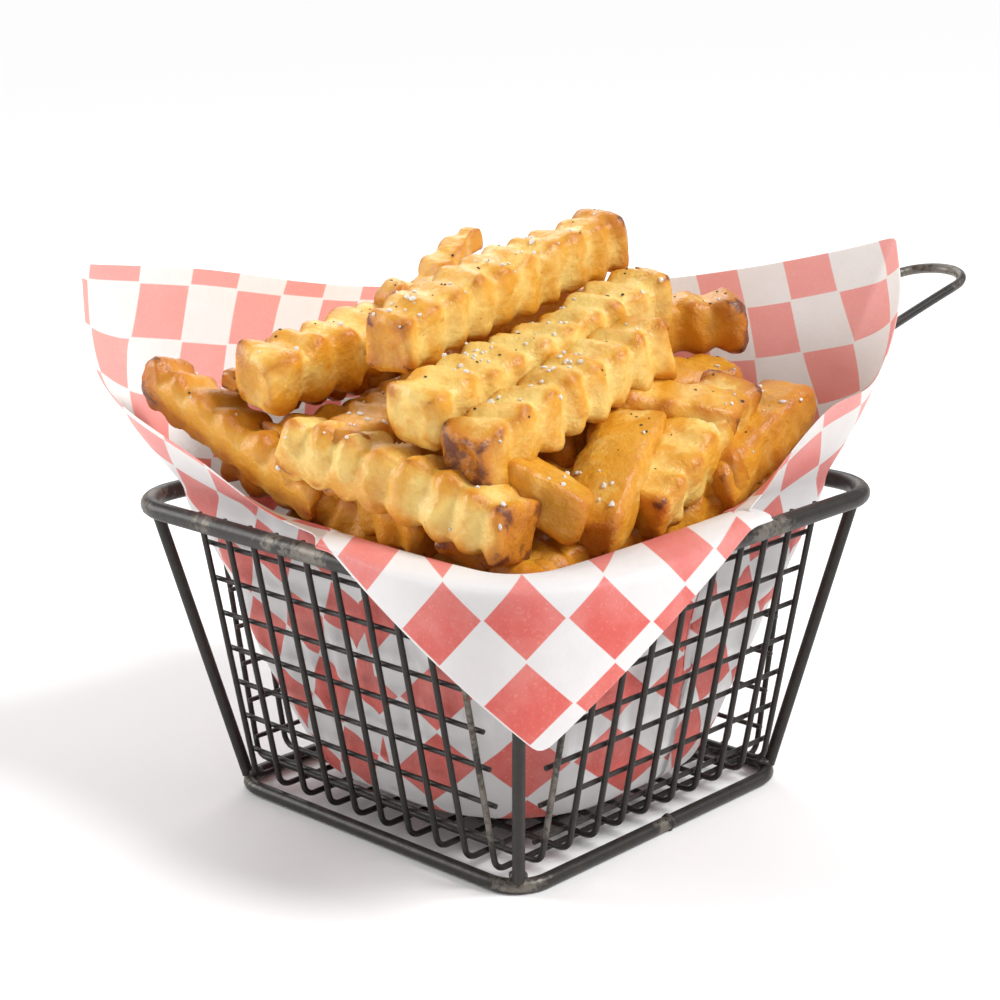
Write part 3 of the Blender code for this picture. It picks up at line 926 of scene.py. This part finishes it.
    def flap_checks(self, points: np.ndarray) -> np.ndarray:
        """Where the hanging corner's points lie on the print, in checks from its tip. Args: points. Returns: places."""
        t = (points[..., 0] - points[..., 1]) / math.sqrt(2)
        d = -(points[..., 0] + points[..., 1]) / math.sqrt(2)
        h = points[..., 2] + 0.26 * np.maximum(80.9 - d, 0)
        return np.stack([FLAP_A[0] + FLAP_A[1] * t + FLAP_A[2] * h + FLAP_A[3] * t * t + FLAP_A[4] * t * h,
                         FLAP_B[0] + FLAP_B[1] * t + FLAP_B[2] * h + FLAP_B[3] * t * t + FLAP_B[4] * t * h], axis=-1)

    def flat_places(self, table: np.ndarray, sides: list) -> list:
        """The print's place at every point, for each of the sheet's three sections.

        Args:
            table: the sheet's points.
            sides: each column's side.

        Returns:
            Rows of (first column, last column, flat places).
        """
        index = {side: [k for k, s in enumerate(sides) if s is side] for side in Side}
        count = len(sides)
        last_flap = index[Side.FLAP][-1]
        flap = self.flap_checks(table[:last_flap + 1])
        edge = table[:, -1]

        first = index[Side.FRONT][0]
        corner_r = index[Side.FRONT][-1]
        corner_b = index[Side.RIGHT][-1]
        before = self.pin_line(edge[first:corner_r + 1][::-1], (-0.36, -0.75), (0, 1))[::-1]
        after = self.pin_line(edge[corner_r:corner_b + 1], (-0.36, -0.75), (1, 0))[1:]
        self.inner_hint = np.array((1.0, 1.0))
        right = self.develop(table[first:corner_b + 1], np.vstack([before, after]))

        corner_l = index[Side.BACK][-1]
        last = index[Side.LEFT][-1]
        back = self.pin_line(edge[corner_b:corner_l + 1][::-1], (0.85, -0.3), (1, 0))[::-1]
        side = self.pin_line(edge[corner_l:last + 1], (0.85, -0.3), (0, 1))[1:]
        left = self.develop(table[corner_b:last + 1], np.vstack([back, side]))
        assert last == count - 1
        return [(0, last_flap, flap), (first, corner_b, right), (corner_b, last, left)]

    def build(self) -> None:
        table, sides = self.build_shape()
        columns, rows = table.shape[:2]
        sections = self.flat_places(table, sides)
        points = [tuple(place(p)) for column in table for p in column] + [tuple(place((0, 0, PAPER_FLOOR)))]
        centre = len(points) - 1
        faces, prints = [], []
        for k in range(columns):
            m = (k + 1) % columns
            start, _, flat = next(s for s in sections if s[0] <= k <= s[1] and (m == 0 or m <= s[1] or k == s[1]))
            for s in sections:
                if s[0] <= k and m <= s[1] and m > k:
                    start, flat = s[0], s[2]
            here = flat[k - start]
            there = flat[m - start] if start < m < start + len(flat) else here + (here - flat[k - start - 1])
            faces.append((centre, k * rows, m * rows))
            prints += [here[0] + (here[0] - here[1]), here[0], there[0]]
            for row in range(rows - 1):
                faces.append((k * rows + row, k * rows + row + 1, m * rows + row + 1, m * rows + row))
                prints += [here[row], here[row + 1], there[row + 1], there[row]]
        mesh = bpy.data.meshes.new("liner_sheet")
        mesh.from_pydata(points, [], faces)
        layer = mesh.uv_layers.new(name="checks")
        layer.data.foreach_set("uv", np.array(prints, dtype=float).reshape(-1))
        sheet = bpy.data.objects.new("liner_sheet", mesh)
        bpy.context.scene.collection.objects.link(sheet)
        local = (points_of(sheet) - np.array(CENTRE)) / MM
        # painted backlight: the print is painted paler from 62 mm up, on the standing corners and the hanging flap,
        # standing in for light through the sheet
        faded = np.clip((local[:, 2] - 62) / 26, 0, 1)
        set_mark(sheet, "faded", faded * 0.8)
        only(sheet)
        bpy.ops.object.mode_set(mode="EDIT")
        bpy.ops.mesh.select_all(action="SELECT")
        bpy.ops.mesh.normals_make_consistent(inside=False)
        bpy.ops.object.mode_set(mode="OBJECT")
        apply_modifier(sheet, "SUBSURF", {"levels": 1, "render_levels": 1, "uv_smooth": "PRESERVE_BOUNDARIES"})
        apply_modifier(sheet, "SOLIDIFY", {"thickness": self.thickness * MM, "offset": 0.0})
        smooth(sheet, 60.0)
        dress(sheet, self.paper, ["paper_liner"])


HEM = -0.22              # where the cut runs beside the last full check
FLAP_A = (-2.316, -0.0462, 0.0600, 0.000328, -0.000331)
FLAP_B = (-2.631, 0.0418, 0.0633, 0.000148, 0.000355)


# ------------------------------------------------------------------ the fries

class Cut(Enum):
    """How a piece of potato was cut."""

    CRINKLE = "crinkle"
    PLAIN = "plain"
    WEDGE = "wedge"


@dataclass(frozen=True)
class Fry:
    """One fry: where its middle is, how it lies, its size in millimetres and how it was cut and browned."""

    middle: tuple
    heading: float
    rise: float
    size: tuple
    roll: float = 0.0
    cut: Cut = Cut.CRINKLE
    brown: tuple = (0.2, 0.2)     # how brown its back and front ends are
    shade: float = 0.0            # painted shade: how much deeper and darker its gold is painted, more for fries lower in the heap
    bow: float = 1.0
    pitch: float = 7.6
    taper: tuple = (1.0, 1.0)

    def build(self, name: str, seed: int) -> bpy.types.Object:
        """Makes the fry.

        Args:
            name: the piece's name.
            seed: chooses its lumps.

        Returns:
            The piece, in place.
        """
        length, width, height = self.size
        nothing_selected()
        bpy.ops.mesh.primitive_cube_add(size=2.0, location=(0, 0, 0))
        fry = bpy.context.object
        fry.name = name
        stations = max(24, int(length / 0.7))
        self.divide(fry, 0, stations)
        self.divide(fry, 1, 9)
        self.divide(fry, 2, 9)
        grid = points_of(fry)
        shaped, crisp, ridge = self.shape(grid, seed)
        set_points(fry, shaped * MM)
        set_mark(fry, "crisp", crisp)
        set_mark(fry, "ridge", ridge)
        # painted shade: the whole fry gets its painted shade value
        set_mark(fry, "shade", np.full(len(grid), self.shade))
        turn = spun(self.heading) @ Matrix.Rotation(math.radians(-self.rise), 4, "Y") @ Matrix.Rotation(
            math.radians(self.roll), 4, "X")
        fry.data.transform(Matrix.Translation(place(self.middle)) @ turn)
        smooth(fry, 70.0)
        return fry

    def divide(self, fry: bpy.types.Object, axis: int, cuts: int) -> None:
        """Cuts every edge that runs along an axis into even steps. Args: fry, axis, cuts."""
        only(fry)
        mesh = fry.data
        mesh.vertices.foreach_set("select", [False] * len(mesh.vertices))
        mesh.polygons.foreach_set("select", [False] * len(mesh.polygons))
        for edge in mesh.edges:
            run = mesh.vertices[edge.vertices[1]].co - mesh.vertices[edge.vertices[0]].co
            edge.select = abs(run[axis]) > 0.9 * run.length
        bpy.context.tool_settings.mesh_select_mode = (False, True, False)
        bpy.ops.object.mode_set(mode="EDIT")
        bpy.ops.mesh.subdivide(number_cuts=cuts, quadcorner="INNERVERT")
        bpy.ops.object.mode_set(mode="OBJECT")

    def shape(self, grid: np.ndarray, seed: int) -> tuple:
        """Turns the cut block into the fry.

        Args:
            grid: the block's points, from -1 to 1 each way.
            seed: chooses the lumps.

        Returns:
            The points in millimetres, and how crisp and how raised each is.
        """
        length, width, height = self.size
        x, y, z = grid[:, 0], grid[:, 1], grid[:, 2]
        rng = np.random.default_rng(seed)
        flat_y, flat_z = np.abs(y), np.abs(z)
        square = np.maximum(flat_y, flat_z)
        power = 4.6
        round_by = square / np.maximum((flat_y ** power + flat_z ** power) ** (1 / power), 1e-6)
        run = x * length / 2
        from_end = length / 2 - np.abs(run)
        soft = 3.4
        close = np.clip(1 - from_end / soft, 0, 1)
        pinch = 1 - 0.3 * (1 - np.sqrt(np.maximum(1 - close ** 2, 0)))
        wave = np.zeros(len(x))
        lobe = np.zeros(len(x))
        if self.cut is not Cut.WEDGE:
            start = rng.uniform(0, 1)
            drift = np.array([noise.noise(Vector((seed * 3.1, r * 0.06, 0))) for r in run])
            slant = rng.uniform(-0.12, 0.12)
            share_y = flat_y ** 6 / (flat_y ** 6 + flat_z ** 6 + 1e-9)
            phase_a = (run + slant * y * width + 1.2 * drift) / self.pitch + start
            phase_b = phase_a + rng.uniform(-0.12, 0.12) + slant * z
            lobe_a = (0.5 - 0.5 * np.cos(math.tau * phase_a)) ** 0.85
            lobe_b = (0.5 - 0.5 * np.cos(math.tau * phase_b)) ** 0.85
            lobe = lobe_a * (1 - share_y) + lobe_b * share_y
            depth = 1.6 if self.cut is Cut.CRINKLE else 0.35
            uneven = 1 + 0.22 * np.sin(np.floor(phase_a) * 12.9 + seed) + 0.15 * np.sin(4 * np.arctan2(z, y) + phase_a)
            at_edge = np.clip(np.minimum(flat_y, flat_z) / np.maximum(square, 1e-6), 0, 1) ** 2
            wave = (lobe - 0.6) * depth * (0.72 + 0.5 * at_edge) * uneven * square ** 2
        ends = np.where(run > 0, self.taper[1], self.taper[0])
        slim = 1 - (1 - ends) * np.clip(np.abs(x), 0, 1) ** 1.6
        half_y, half_z = width / 2 * slim, height / 2 * slim
        py = y * half_y * round_by * pinch
        pz = z * half_z * round_by * pinch
        if self.cut is Cut.WEDGE:
            pz *= 0.55 + 0.45 * np.clip(1 - y * 0.9, 0, 2) / 1.4
        around = np.hypot(py, pz) + 1e-6
        grow = wave / around
        py, pz = py * (1 + grow), pz * (1 + grow)
        px = run * (1 - 0.02 * (1 - square ** 2) * (np.abs(x) > 0.999))
        bent = self.bow * (1 - (x * 1.15) ** 2)
        lumps = np.empty((len(x), 3))
        for k in range(len(x)):
            spot = Vector((px[k], py[k], pz[k]))
            big = noise.noise_vector(spot * 0.11 + Vector((seed * 1.7, 0, 0)))
            mid = noise.noise_vector(spot * 0.34 + Vector((0, seed * 2.3, 0)))
            fine = noise.noise_vector(spot * 0.95 + Vector((0, 0, seed * 0.7)))
            lumps[k] = big * 1.1 + mid * 0.45 + fine * 0.14
        points = np.column_stack([px, py, pz + bent]) + lumps
        edges = np.clip(np.minimum(flat_y, flat_z) / np.maximum(square, 1e-6), 0, 1) ** 2.2 * square ** 5
        edges *= 0.45 + 0.65 * lobe
        back, front = self.brown
        reach = np.where(run > 0, front, back)
        at_end = np.exp(-np.clip(from_end, 0, None) / (1.2 + 3.0 * reach)) * reach
        corner = edges * np.exp(-from_end / 3.0)
        patch = 0.25 * np.clip(lumps[:, 2], 0, 1.5)
        crisp = np.clip(at_end * 0.9 + 0.42 * edges + 0.25 * corner + patch * 0.5, 0, 1.3)
        return points, crisp, lobe


# each fry's eighth value is its painted shade, larger for fries lying lower in the heap
FRIES = (
    Fry((-7, -6, 112), 3, 10, (72, 12.5, 12.5), 4, brown=(0.3, 0.8), shade=0.1, bow=1.0),
    Fry((-11, -20, 101), 1, 11, (76, 12.5, 12.5), 8, brown=(0.1, 0.4), shade=-0.15, bow=-0.8),
    Fry((-17, -31, 94), 4, 13, (62, 12.5, 12.5), 6, brown=(0.85, 0.45), shade=0.0, bow=0.6),
    Fry((-48, -18, 80), -81, -11, (56, 12.5, 12.5), -6, brown=(0.2, 0.6), shade=0.0, bow=1.2),
    Fry((-30, 21, 98), 4, 5, (46, 12.5, 13), 10, brown=(0.25, 0.2), shade=0.15, bow=0.5, pitch=8.5),
    Fry((-51, 27, 83), -82, -24, (50, 13, 11), -12, brown=(0.75, 0.3), shade=0.5, bow=0.4),
    Fry((18, 35, 108), 13, 32, (30, 9, 8), 0, brown=(0.4, 0.35), shade=0.2, taper=(1, 0.35)),
    Fry((36, -12, 98), -50, 8, (38, 12, 12), 5, brown=(0.2, 0.85), shade=0.4),
    Fry((22, -22, 86), -20, 5, (40, 12.5, 12.5), 12, Cut.PLAIN, (0.3, 0.3), 0.4),
    Fry((9, -33, 87), -45, -12, (34, 12.5, 13), 20, Cut.PLAIN, (0.3, 0.35), 0.2, 0.5),
    Fry((-14, -43, 79), 22, 26, (36, 14, 11), 10, Cut.WEDGE, (0.4, 0.35), 0.4, 1.5),
    Fry((-33, -40, 80), -60, -24, (20, 12, 10), 8, Cut.WEDGE, (0.3, 0.3), 0.5, 0.5),
    Fry((8, -47, 80), 12, 19, (46, 12.5, 12), 15, brown=(0.3, 0.85), shade=0.1, bow=1.0),
    Fry((30, -45, 78), 8, 17, (40, 12.5, 12.5), 0, Cut.PLAIN, (0.3, 0.35), 0.6),
    Fry((12, 12, 102), 160, 6, (58, 12.5, 12.5), 0, brown=(0.3, 0.3), shade=0.2),
    Fry((30, 20, 92), -35, -6, (56, 12.5, 12.5), 30, brown=(0.3, 0.5), shade=0.3),
    Fry((-8, 40, 90), 10, -5, (60, 12.5, 12.5), 10, brown=(0.3, 0.3), shade=0.3),
    Fry((36, 24, 84), 80, 4, (44, 12.5, 12.5), 0, brown=(0.4, 0.3), shade=0.3),
    Fry((-47, -30, 64), -80, -6, (46, 12.5, 12), 8, brown=(0.5, 0.4), shade=0.7),
    Fry((-22, -46, 65), 8, 4, (62, 12.5, 12), 14, brown=(0.4, 0.4), shade=0.8),
    Fry((16, -48, 66), -4, 3, (54, 12, 12), 4, brown=(0.5, 0.3), shade=0.8),
    Fry((-47, 2, 75), 84, 5, (58, 12.5, 12), -8, brown=(0.3, 0.3), shade=0.6),
    Fry((-30, -22, 76), 36, 4, (60, 12.5, 12.5), 20, brown=(0.4, 0.4), shade=0.7),
    Fry((-39, 29, 94), -174, 3, (26, 8, 8), 0, brown=(0.3, 0.5), shade=0.5, taper=(1, 0.5)),
    Fry((-28, 15, 82), -7, 3, (44, 12, 11), 5, brown=(0.3, 0.3), shade=0.7),
    Fry((-52, 14, 73), -84, -16, (46, 12, 11), 4, brown=(0.3, 0.3), shade=0.9),
    Fry((-33, 2, 86), 20, 6, (52, 12, 12.5), 0, brown=(0.3, 0.3), shade=0.6),
    Fry((-2, -34, 74), -30, 3, (52, 12.5, 12), 10, brown=(0.5, 0.4), shade=0.8),
)


@dataclass
class Heap:
    """The heap of fries over a core that stays out of sight."""

    potato: bpy.types.Material
    fries: tuple = FRIES
    fillers: int = 32
    placed: int = 18
    shown: list = field(default_factory=list)

    def limit(self, angle: np.ndarray, height: np.ndarray) -> np.ndarray:
        """How far out the heap may reach at a direction and height, in millimetres."""
        low = np.array([liner_half(min(max(h, PAPER_FLOOR), RIM_HEIGHT)) for h in height])
        inside = square_reach(angle, low[:, 0], low[:, 1])
        return inside + np.clip(height - 70, 0, 22) * 0.42

    def keep_inside(self, piece: bpy.types.Object, margin: float) -> None:
        """Draws each point that would pass through the paper back inside. Args: piece, margin."""
        points = (points_of(piece) - np.array(CENTRE)) / MM
        angle = np.arctan2(points[:, 1], points[:, 0])
        reach = np.hypot(points[:, 0], points[:, 1])
        swell = np.clip(1 - np.abs(points[:, 2] - 40) / 32, 0, 1) * 4.0
        most = self.limit(angle, points[:, 2]) - margin - swell
        pull = np.minimum(1.0, most / np.maximum(reach, 1.0))
        pull = np.where(points[:, 2] > 104, 1.0, pull)
        points[:, 0] *= pull
        points[:, 1] *= pull
        points[:, 2] = np.maximum(points[:, 2], PAPER_FLOOR + 1.2)
        set_points(piece, points * MM + np.array(CENTRE))

    def nudge_inside(self, piece: bpy.types.Object, margin: float, left_over: float = 0.4) -> None:
        """Moves a whole piece in till little of it passes through the paper. Args: piece, margin, left_over."""
        points = (points_of(piece) - np.array(CENTRE)) / MM
        for _ in range(5):
            angle = np.arctan2(points[:, 1], points[:, 0])
            reach = np.hypot(points[:, 0], points[:, 1])
            swell = np.clip(1 - np.abs(points[:, 2] - 40) / 32, 0, 1) * 4.0
            over = reach - self.limit(angle, points[:, 2]) + margin + swell
            worst = int(np.argmax(over))
            if over[worst] < left_over:
                break
            points[:, :2] -= points[worst, :2] / reach[worst] * over[worst] * 0.85
        set_points(piece, points * MM + np.array(CENTRE))

    def build_core(self) -> bpy.types.Object:
        """Makes the core from a stack of spun rings. Returns: the piece."""
        rings = ((9.6, 28), (24, 32), (42, 36), (56, 38), (66, 34), (76, 26), (84, 17), (88, 7))
        nothing_selected()
        bpy.ops.mesh.primitive_circle_add(vertices=40, radius=rings[0][1] * MM, fill_type="NGON",
                                          location=place((0, 0, rings[0][0])))
        core = bpy.context.object
        core.name = "fries_core"
        bpy.ops.object.mode_set(mode="EDIT")
        bpy.ops.mesh.select_all(action="SELECT")
        for (low, half), (high, wide) in zip(rings, rings[1:]):
            bpy.ops.mesh.extrude_region_move(TRANSFORM_OT_translate={"value": (0, 0, (high - low) * MM)})
            grow = wide / half
            bpy.ops.transform.resize(value=(grow, grow, 1), center_override=place((0, 0, high)))
        bpy.ops.mesh.select_all(action="SELECT")
        bpy.ops.mesh.normals_make_consistent(inside=False)
        bpy.ops.object.mode_set(mode="OBJECT")
        settle(core)
        apply_modifier(core, "SUBSURF", {"levels": 2, "render_levels": 2, "subdivision_type": "SIMPLE"})
        points = points_of(core)
        for k, point in enumerate(points):
            points[k] += np.array(noise.noise_vector(Vector(point) * 90)) * 3.0 * MM
        set_points(core, points)
        smooth(core, 60.0)
        count = len(core.data.vertices)
        # painted shade: the core shows only in the gaps between fries, and its crisp and shade marks paint it a dark
        # amber-brown there
        set_mark(core, "crisp", np.full(count, 0.75))
        set_mark(core, "ridge", np.full(count, 0.3))
        set_mark(core, "shade", np.full(count, 1.1))
        return core

    def filler(self, rng: random.Random, number: int) -> Fry:
        """One fry of the heap's hidden body. Args: rng, number. Returns: the fry."""
        layer = number % 4
        height = 58 + 8.5 * layer + rng.uniform(-2, 2)
        angle = rng.uniform(0, math.tau)
        out = rng.uniform(14, 40 - 5 * layer)
        spot = (out * math.cos(angle), out * math.sin(angle), height)
        heading = math.degrees(angle) + 90 + rng.uniform(-50, 50)
        size = (rng.uniform(38, 62), rng.uniform(11.3, 12.8), rng.uniform(11.3, 12.8))
        # the fillers lie low and hidden in the heap, so they get strong painted shade
        return Fry(spot, heading, rng.uniform(-12, 12), size, rng.uniform(-25, 25),
                   brown=(rng.uniform(0.1, 0.6), rng.uniform(0.1, 0.6)), shade=rng.uniform(0.5, 1.1))

    def build(self) -> None:
        """Makes the core, the fries that show and the fillers between them."""
        core = self.build_core()
        self.keep_inside(core, 4.0)
        dress(core, self.potato, ["fries"])
        for k, fry in enumerate(self.fries):
            piece = fry.build(f"fry_{k + 1:02d}", 11 + k)
            if k >= self.placed:
                self.nudge_inside(piece, 0.7)
            elif fry.middle[1] < -40:
                self.nudge_inside(piece, 0.4, 1.8)
            self.keep_inside(piece, 0.4)
            dress(piece, self.potato)
            self.shown.append(piece)
        rng = random.Random(41)
        for k in range(self.fillers):
            piece = self.filler(rng, k).build(f"fry_{k + 1 + len(self.fries):02d}", 71 + k)
            self.nudge_inside(piece, 0.9)
            self.keep_inside(piece, 0.9)
            dress(piece, self.potato)
            self.shown.append(piece)


@dataclass
class Sprinkle:
    """Grains scattered on the fries' upper faces, one mesh for each kind."""

    name: str
    finish: bpy.types.Material
    count: int
    sizes: tuple
    flat: float
    seed: int
    dense: tuple = ()

    def build(self, fries: Sequence[bpy.types.Object]) -> None:
        """Scatters the grains. Args: fries: not used; the grains lie on the pieces named fry_ that a ray from above
        meets.
        """
        rng = random.Random(self.seed)
        spots = []
        depsgraph = bpy.context.evaluated_depsgraph_get()
        scene = bpy.context.scene
        tries = 0
        while len(spots) < self.count and tries < self.count * 30:
            tries += 1
            if self.dense and rng.random() < 0.4:
                x, y, reach = rng.choice(self.dense)
                x, y = x + rng.gauss(0, reach), y + rng.gauss(0, reach)
            else:
                x, y = rng.uniform(-58, 58), rng.uniform(-56, 56)
            hit, spot, normal, _, thing, _ = scene.ray_cast(depsgraph, place((x, y, 160)), Vector((0, 0, -1)))
            if hit and thing.name.startswith("fry_") and normal.z > 0.15:
                spots.append((spot, normal))
        nothing_selected()
        bpy.ops.mesh.primitive_ico_sphere_add(subdivisions=1, radius=1.0, location=(0, 0, 0))
        grain = bpy.context.object
        shape = points_of(grain)
        faces = [tuple(p.vertices) for p in grain.data.polygons]
        bpy.data.objects.remove(grain, do_unlink=True)
        all_points, all_faces = [], []
        for spot, normal in spots:
            size = rng.uniform(*self.sizes) * MM
            turn = normal.to_track_quat("Z", "Y").to_matrix() @ Matrix.Rotation(rng.uniform(0, math.tau), 3, "Z")
            scale = Vector((rng.uniform(0.7, 1.3), rng.uniform(0.6, 1.1), self.flat * rng.uniform(0.7, 1.2)))
            base = len(all_points)
            for corner in shape:
                jitter = 1 + rng.uniform(-0.22, 0.22)
                local = Vector((corner[0] * scale.x, corner[1] * scale.y, corner[2] * scale.z)) * jitter
                all_points.append(tuple(spot + normal * size * 0.3 * self.flat + turn @ local * size))
            all_faces += [tuple(base + i for i in f) for f in faces]
        mesh = bpy.data.meshes.new(self.name)
        mesh.from_pydata(all_points, [], all_faces)
        piece = bpy.data.objects.new(self.name, mesh)
        bpy.context.scene.collection.objects.link(piece)
        dress(piece, self.finish)


# ------------------------------------------------------------------ the stage

@dataclass
class Studio:
    """A plain pale floor, soft lights and the camera."""

    camera_at: tuple = (-324.78, -307.26, 185.46)
    right: tuple = (0.68748, -0.72613, -0.01030)
    up: tuple = (0.19639, 0.17224, 0.96528)
    back: tuple = (-0.69914, -0.66563, 0.26101)
    lens: float = 77.695
    ambient: float = 0.4
    sun_from: tuple = (0.3, -0.75, 0.85)
    sun_power: float = 2.9

    def build_floor(self) -> None:
        """Makes the floor."""
        nothing_selected()
        bpy.ops.mesh.primitive_plane_add(size=40.0, location=(0, 0, -0.0002))
        floor = bpy.context.object
        floor.name = "floor"
        g = Graph("pale_floor")
        floor.data.materials.append(g.surface({"Base Color": (0.95, 0.95, 0.95), "Roughness": 0.9}))

    def build_light(self, name: str, at: tuple, size: float, power: float, colour: tuple = (1, 1, 1)) -> None:
        """Adds one soft square light aimed at the heap. Args: name, at in metres, size, power, colour."""
        light = bpy.data.lights.new(name, "AREA")
        light.size = size
        light.energy = power
        light.color = colour
        lamp = bpy.data.objects.new(name, light)
        lamp.location = CENTRE + Vector(at)
        aim = place((0, 0, 70)) - lamp.location
        lamp.rotation_euler = aim.to_track_quat("-Z", "Y").to_euler()
        bpy.context.scene.collection.objects.link(lamp)

    def build_sun(self) -> None:
        """Adds the wide main light."""
        light = bpy.data.lights.new("main_light", "SUN")
        light.angle = math.radians(24)
        light.energy = self.sun_power
        lamp = bpy.data.objects.new("main_light", light)
        lamp.rotation_euler = (-Vector(self.sun_from)).to_track_quat("-Z", "Y").to_euler()
        bpy.context.scene.collection.objects.link(lamp)

    def build_camera(self) -> None:
        """Makes the camera and puts it in use."""
        data = bpy.data.cameras.new("camera")
        data.sensor_width = 36.0
        data.lens = self.lens
        camera = bpy.data.objects.new("camera", data)
        turn = Matrix((self.right, self.up, self.back)).transposed().to_4x4()
        camera.matrix_world = Matrix.Translation(place(self.camera_at)) @ turn
        bpy.context.scene.collection.objects.link(camera)
        bpy.context.scene.camera = camera

    def build(self) -> None:
        """Makes the floor, the lights, the pale surroundings and the camera."""
        self.build_floor()
        world = bpy.data.worlds.new("surroundings")
        world.use_nodes = True
        tree = world.node_tree
        sky = tree.nodes["Background"]
        sky.inputs["Color"].default_value = (1.0, 1.0, 1.0, 1.0)
        seen = tree.nodes.new("ShaderNodeLightPath")
        strength = tree.nodes.new("ShaderNodeMapRange")
        strength.inputs["To Min"].default_value = self.ambient
        strength.inputs["To Max"].default_value = 1.0
        tree.links.new(seen.outputs["Is Camera Ray"], strength.inputs["Value"])
        tree.links.new(strength.outputs["Result"], sky.inputs["Strength"])
        bpy.context.scene.world = world
        bpy.context.scene.view_settings.view_transform = "Standard"
        self.build_sun()
        self.build_light("side", (-0.5, 0.75, 0.45), 0.5, 6.0)
        self.build_light("rim_light", (0.5, 0.6, 0.6), 0.5, 2.5)
        self.build_camera()


def main() -> None:
    """Builds every part of the serving and reports each piece."""
    logging.basicConfig(level=logging.INFO, format="%(name)s %(message)s")
    dark = BlackWire("black_wire", 0.25).build()
    worn = BlackWire("worn_black_wire", 0.5).build()
    bare = BlackWire("rubbed_wire", 0.6).build()
    Basket(dark, worn, bare).build()
    Liner(CheckedPaper().build()).build()
    heap = Heap(FriedPotato().build())
    heap.build()
    salt = Seasoning("salt", (0.93, 0.90, 0.84), (0.98, 0.96, 0.93), 0.2, 0.25).build()
    pepper = Seasoning("dark_flakes", (0.03, 0.02, 0.012), (0.07, 0.04, 0.02), 0.6).build()
    Sprinkle("salt_grains", salt, 190, (0.3, 0.72), 0.8, 7,
             ((-38, -8, 4), (-30, -20, 4), (-20, -34, 5), (-48, -5, 5), (0, -8, 8), (-10, -24, 7))).build(heap.shown)
    Sprinkle("pepper_flakes", pepper, 170, (0.16, 0.42), 0.45, 8).build(heap.shown)
    Studio().build()


if __name__ == "__main__":
    main()
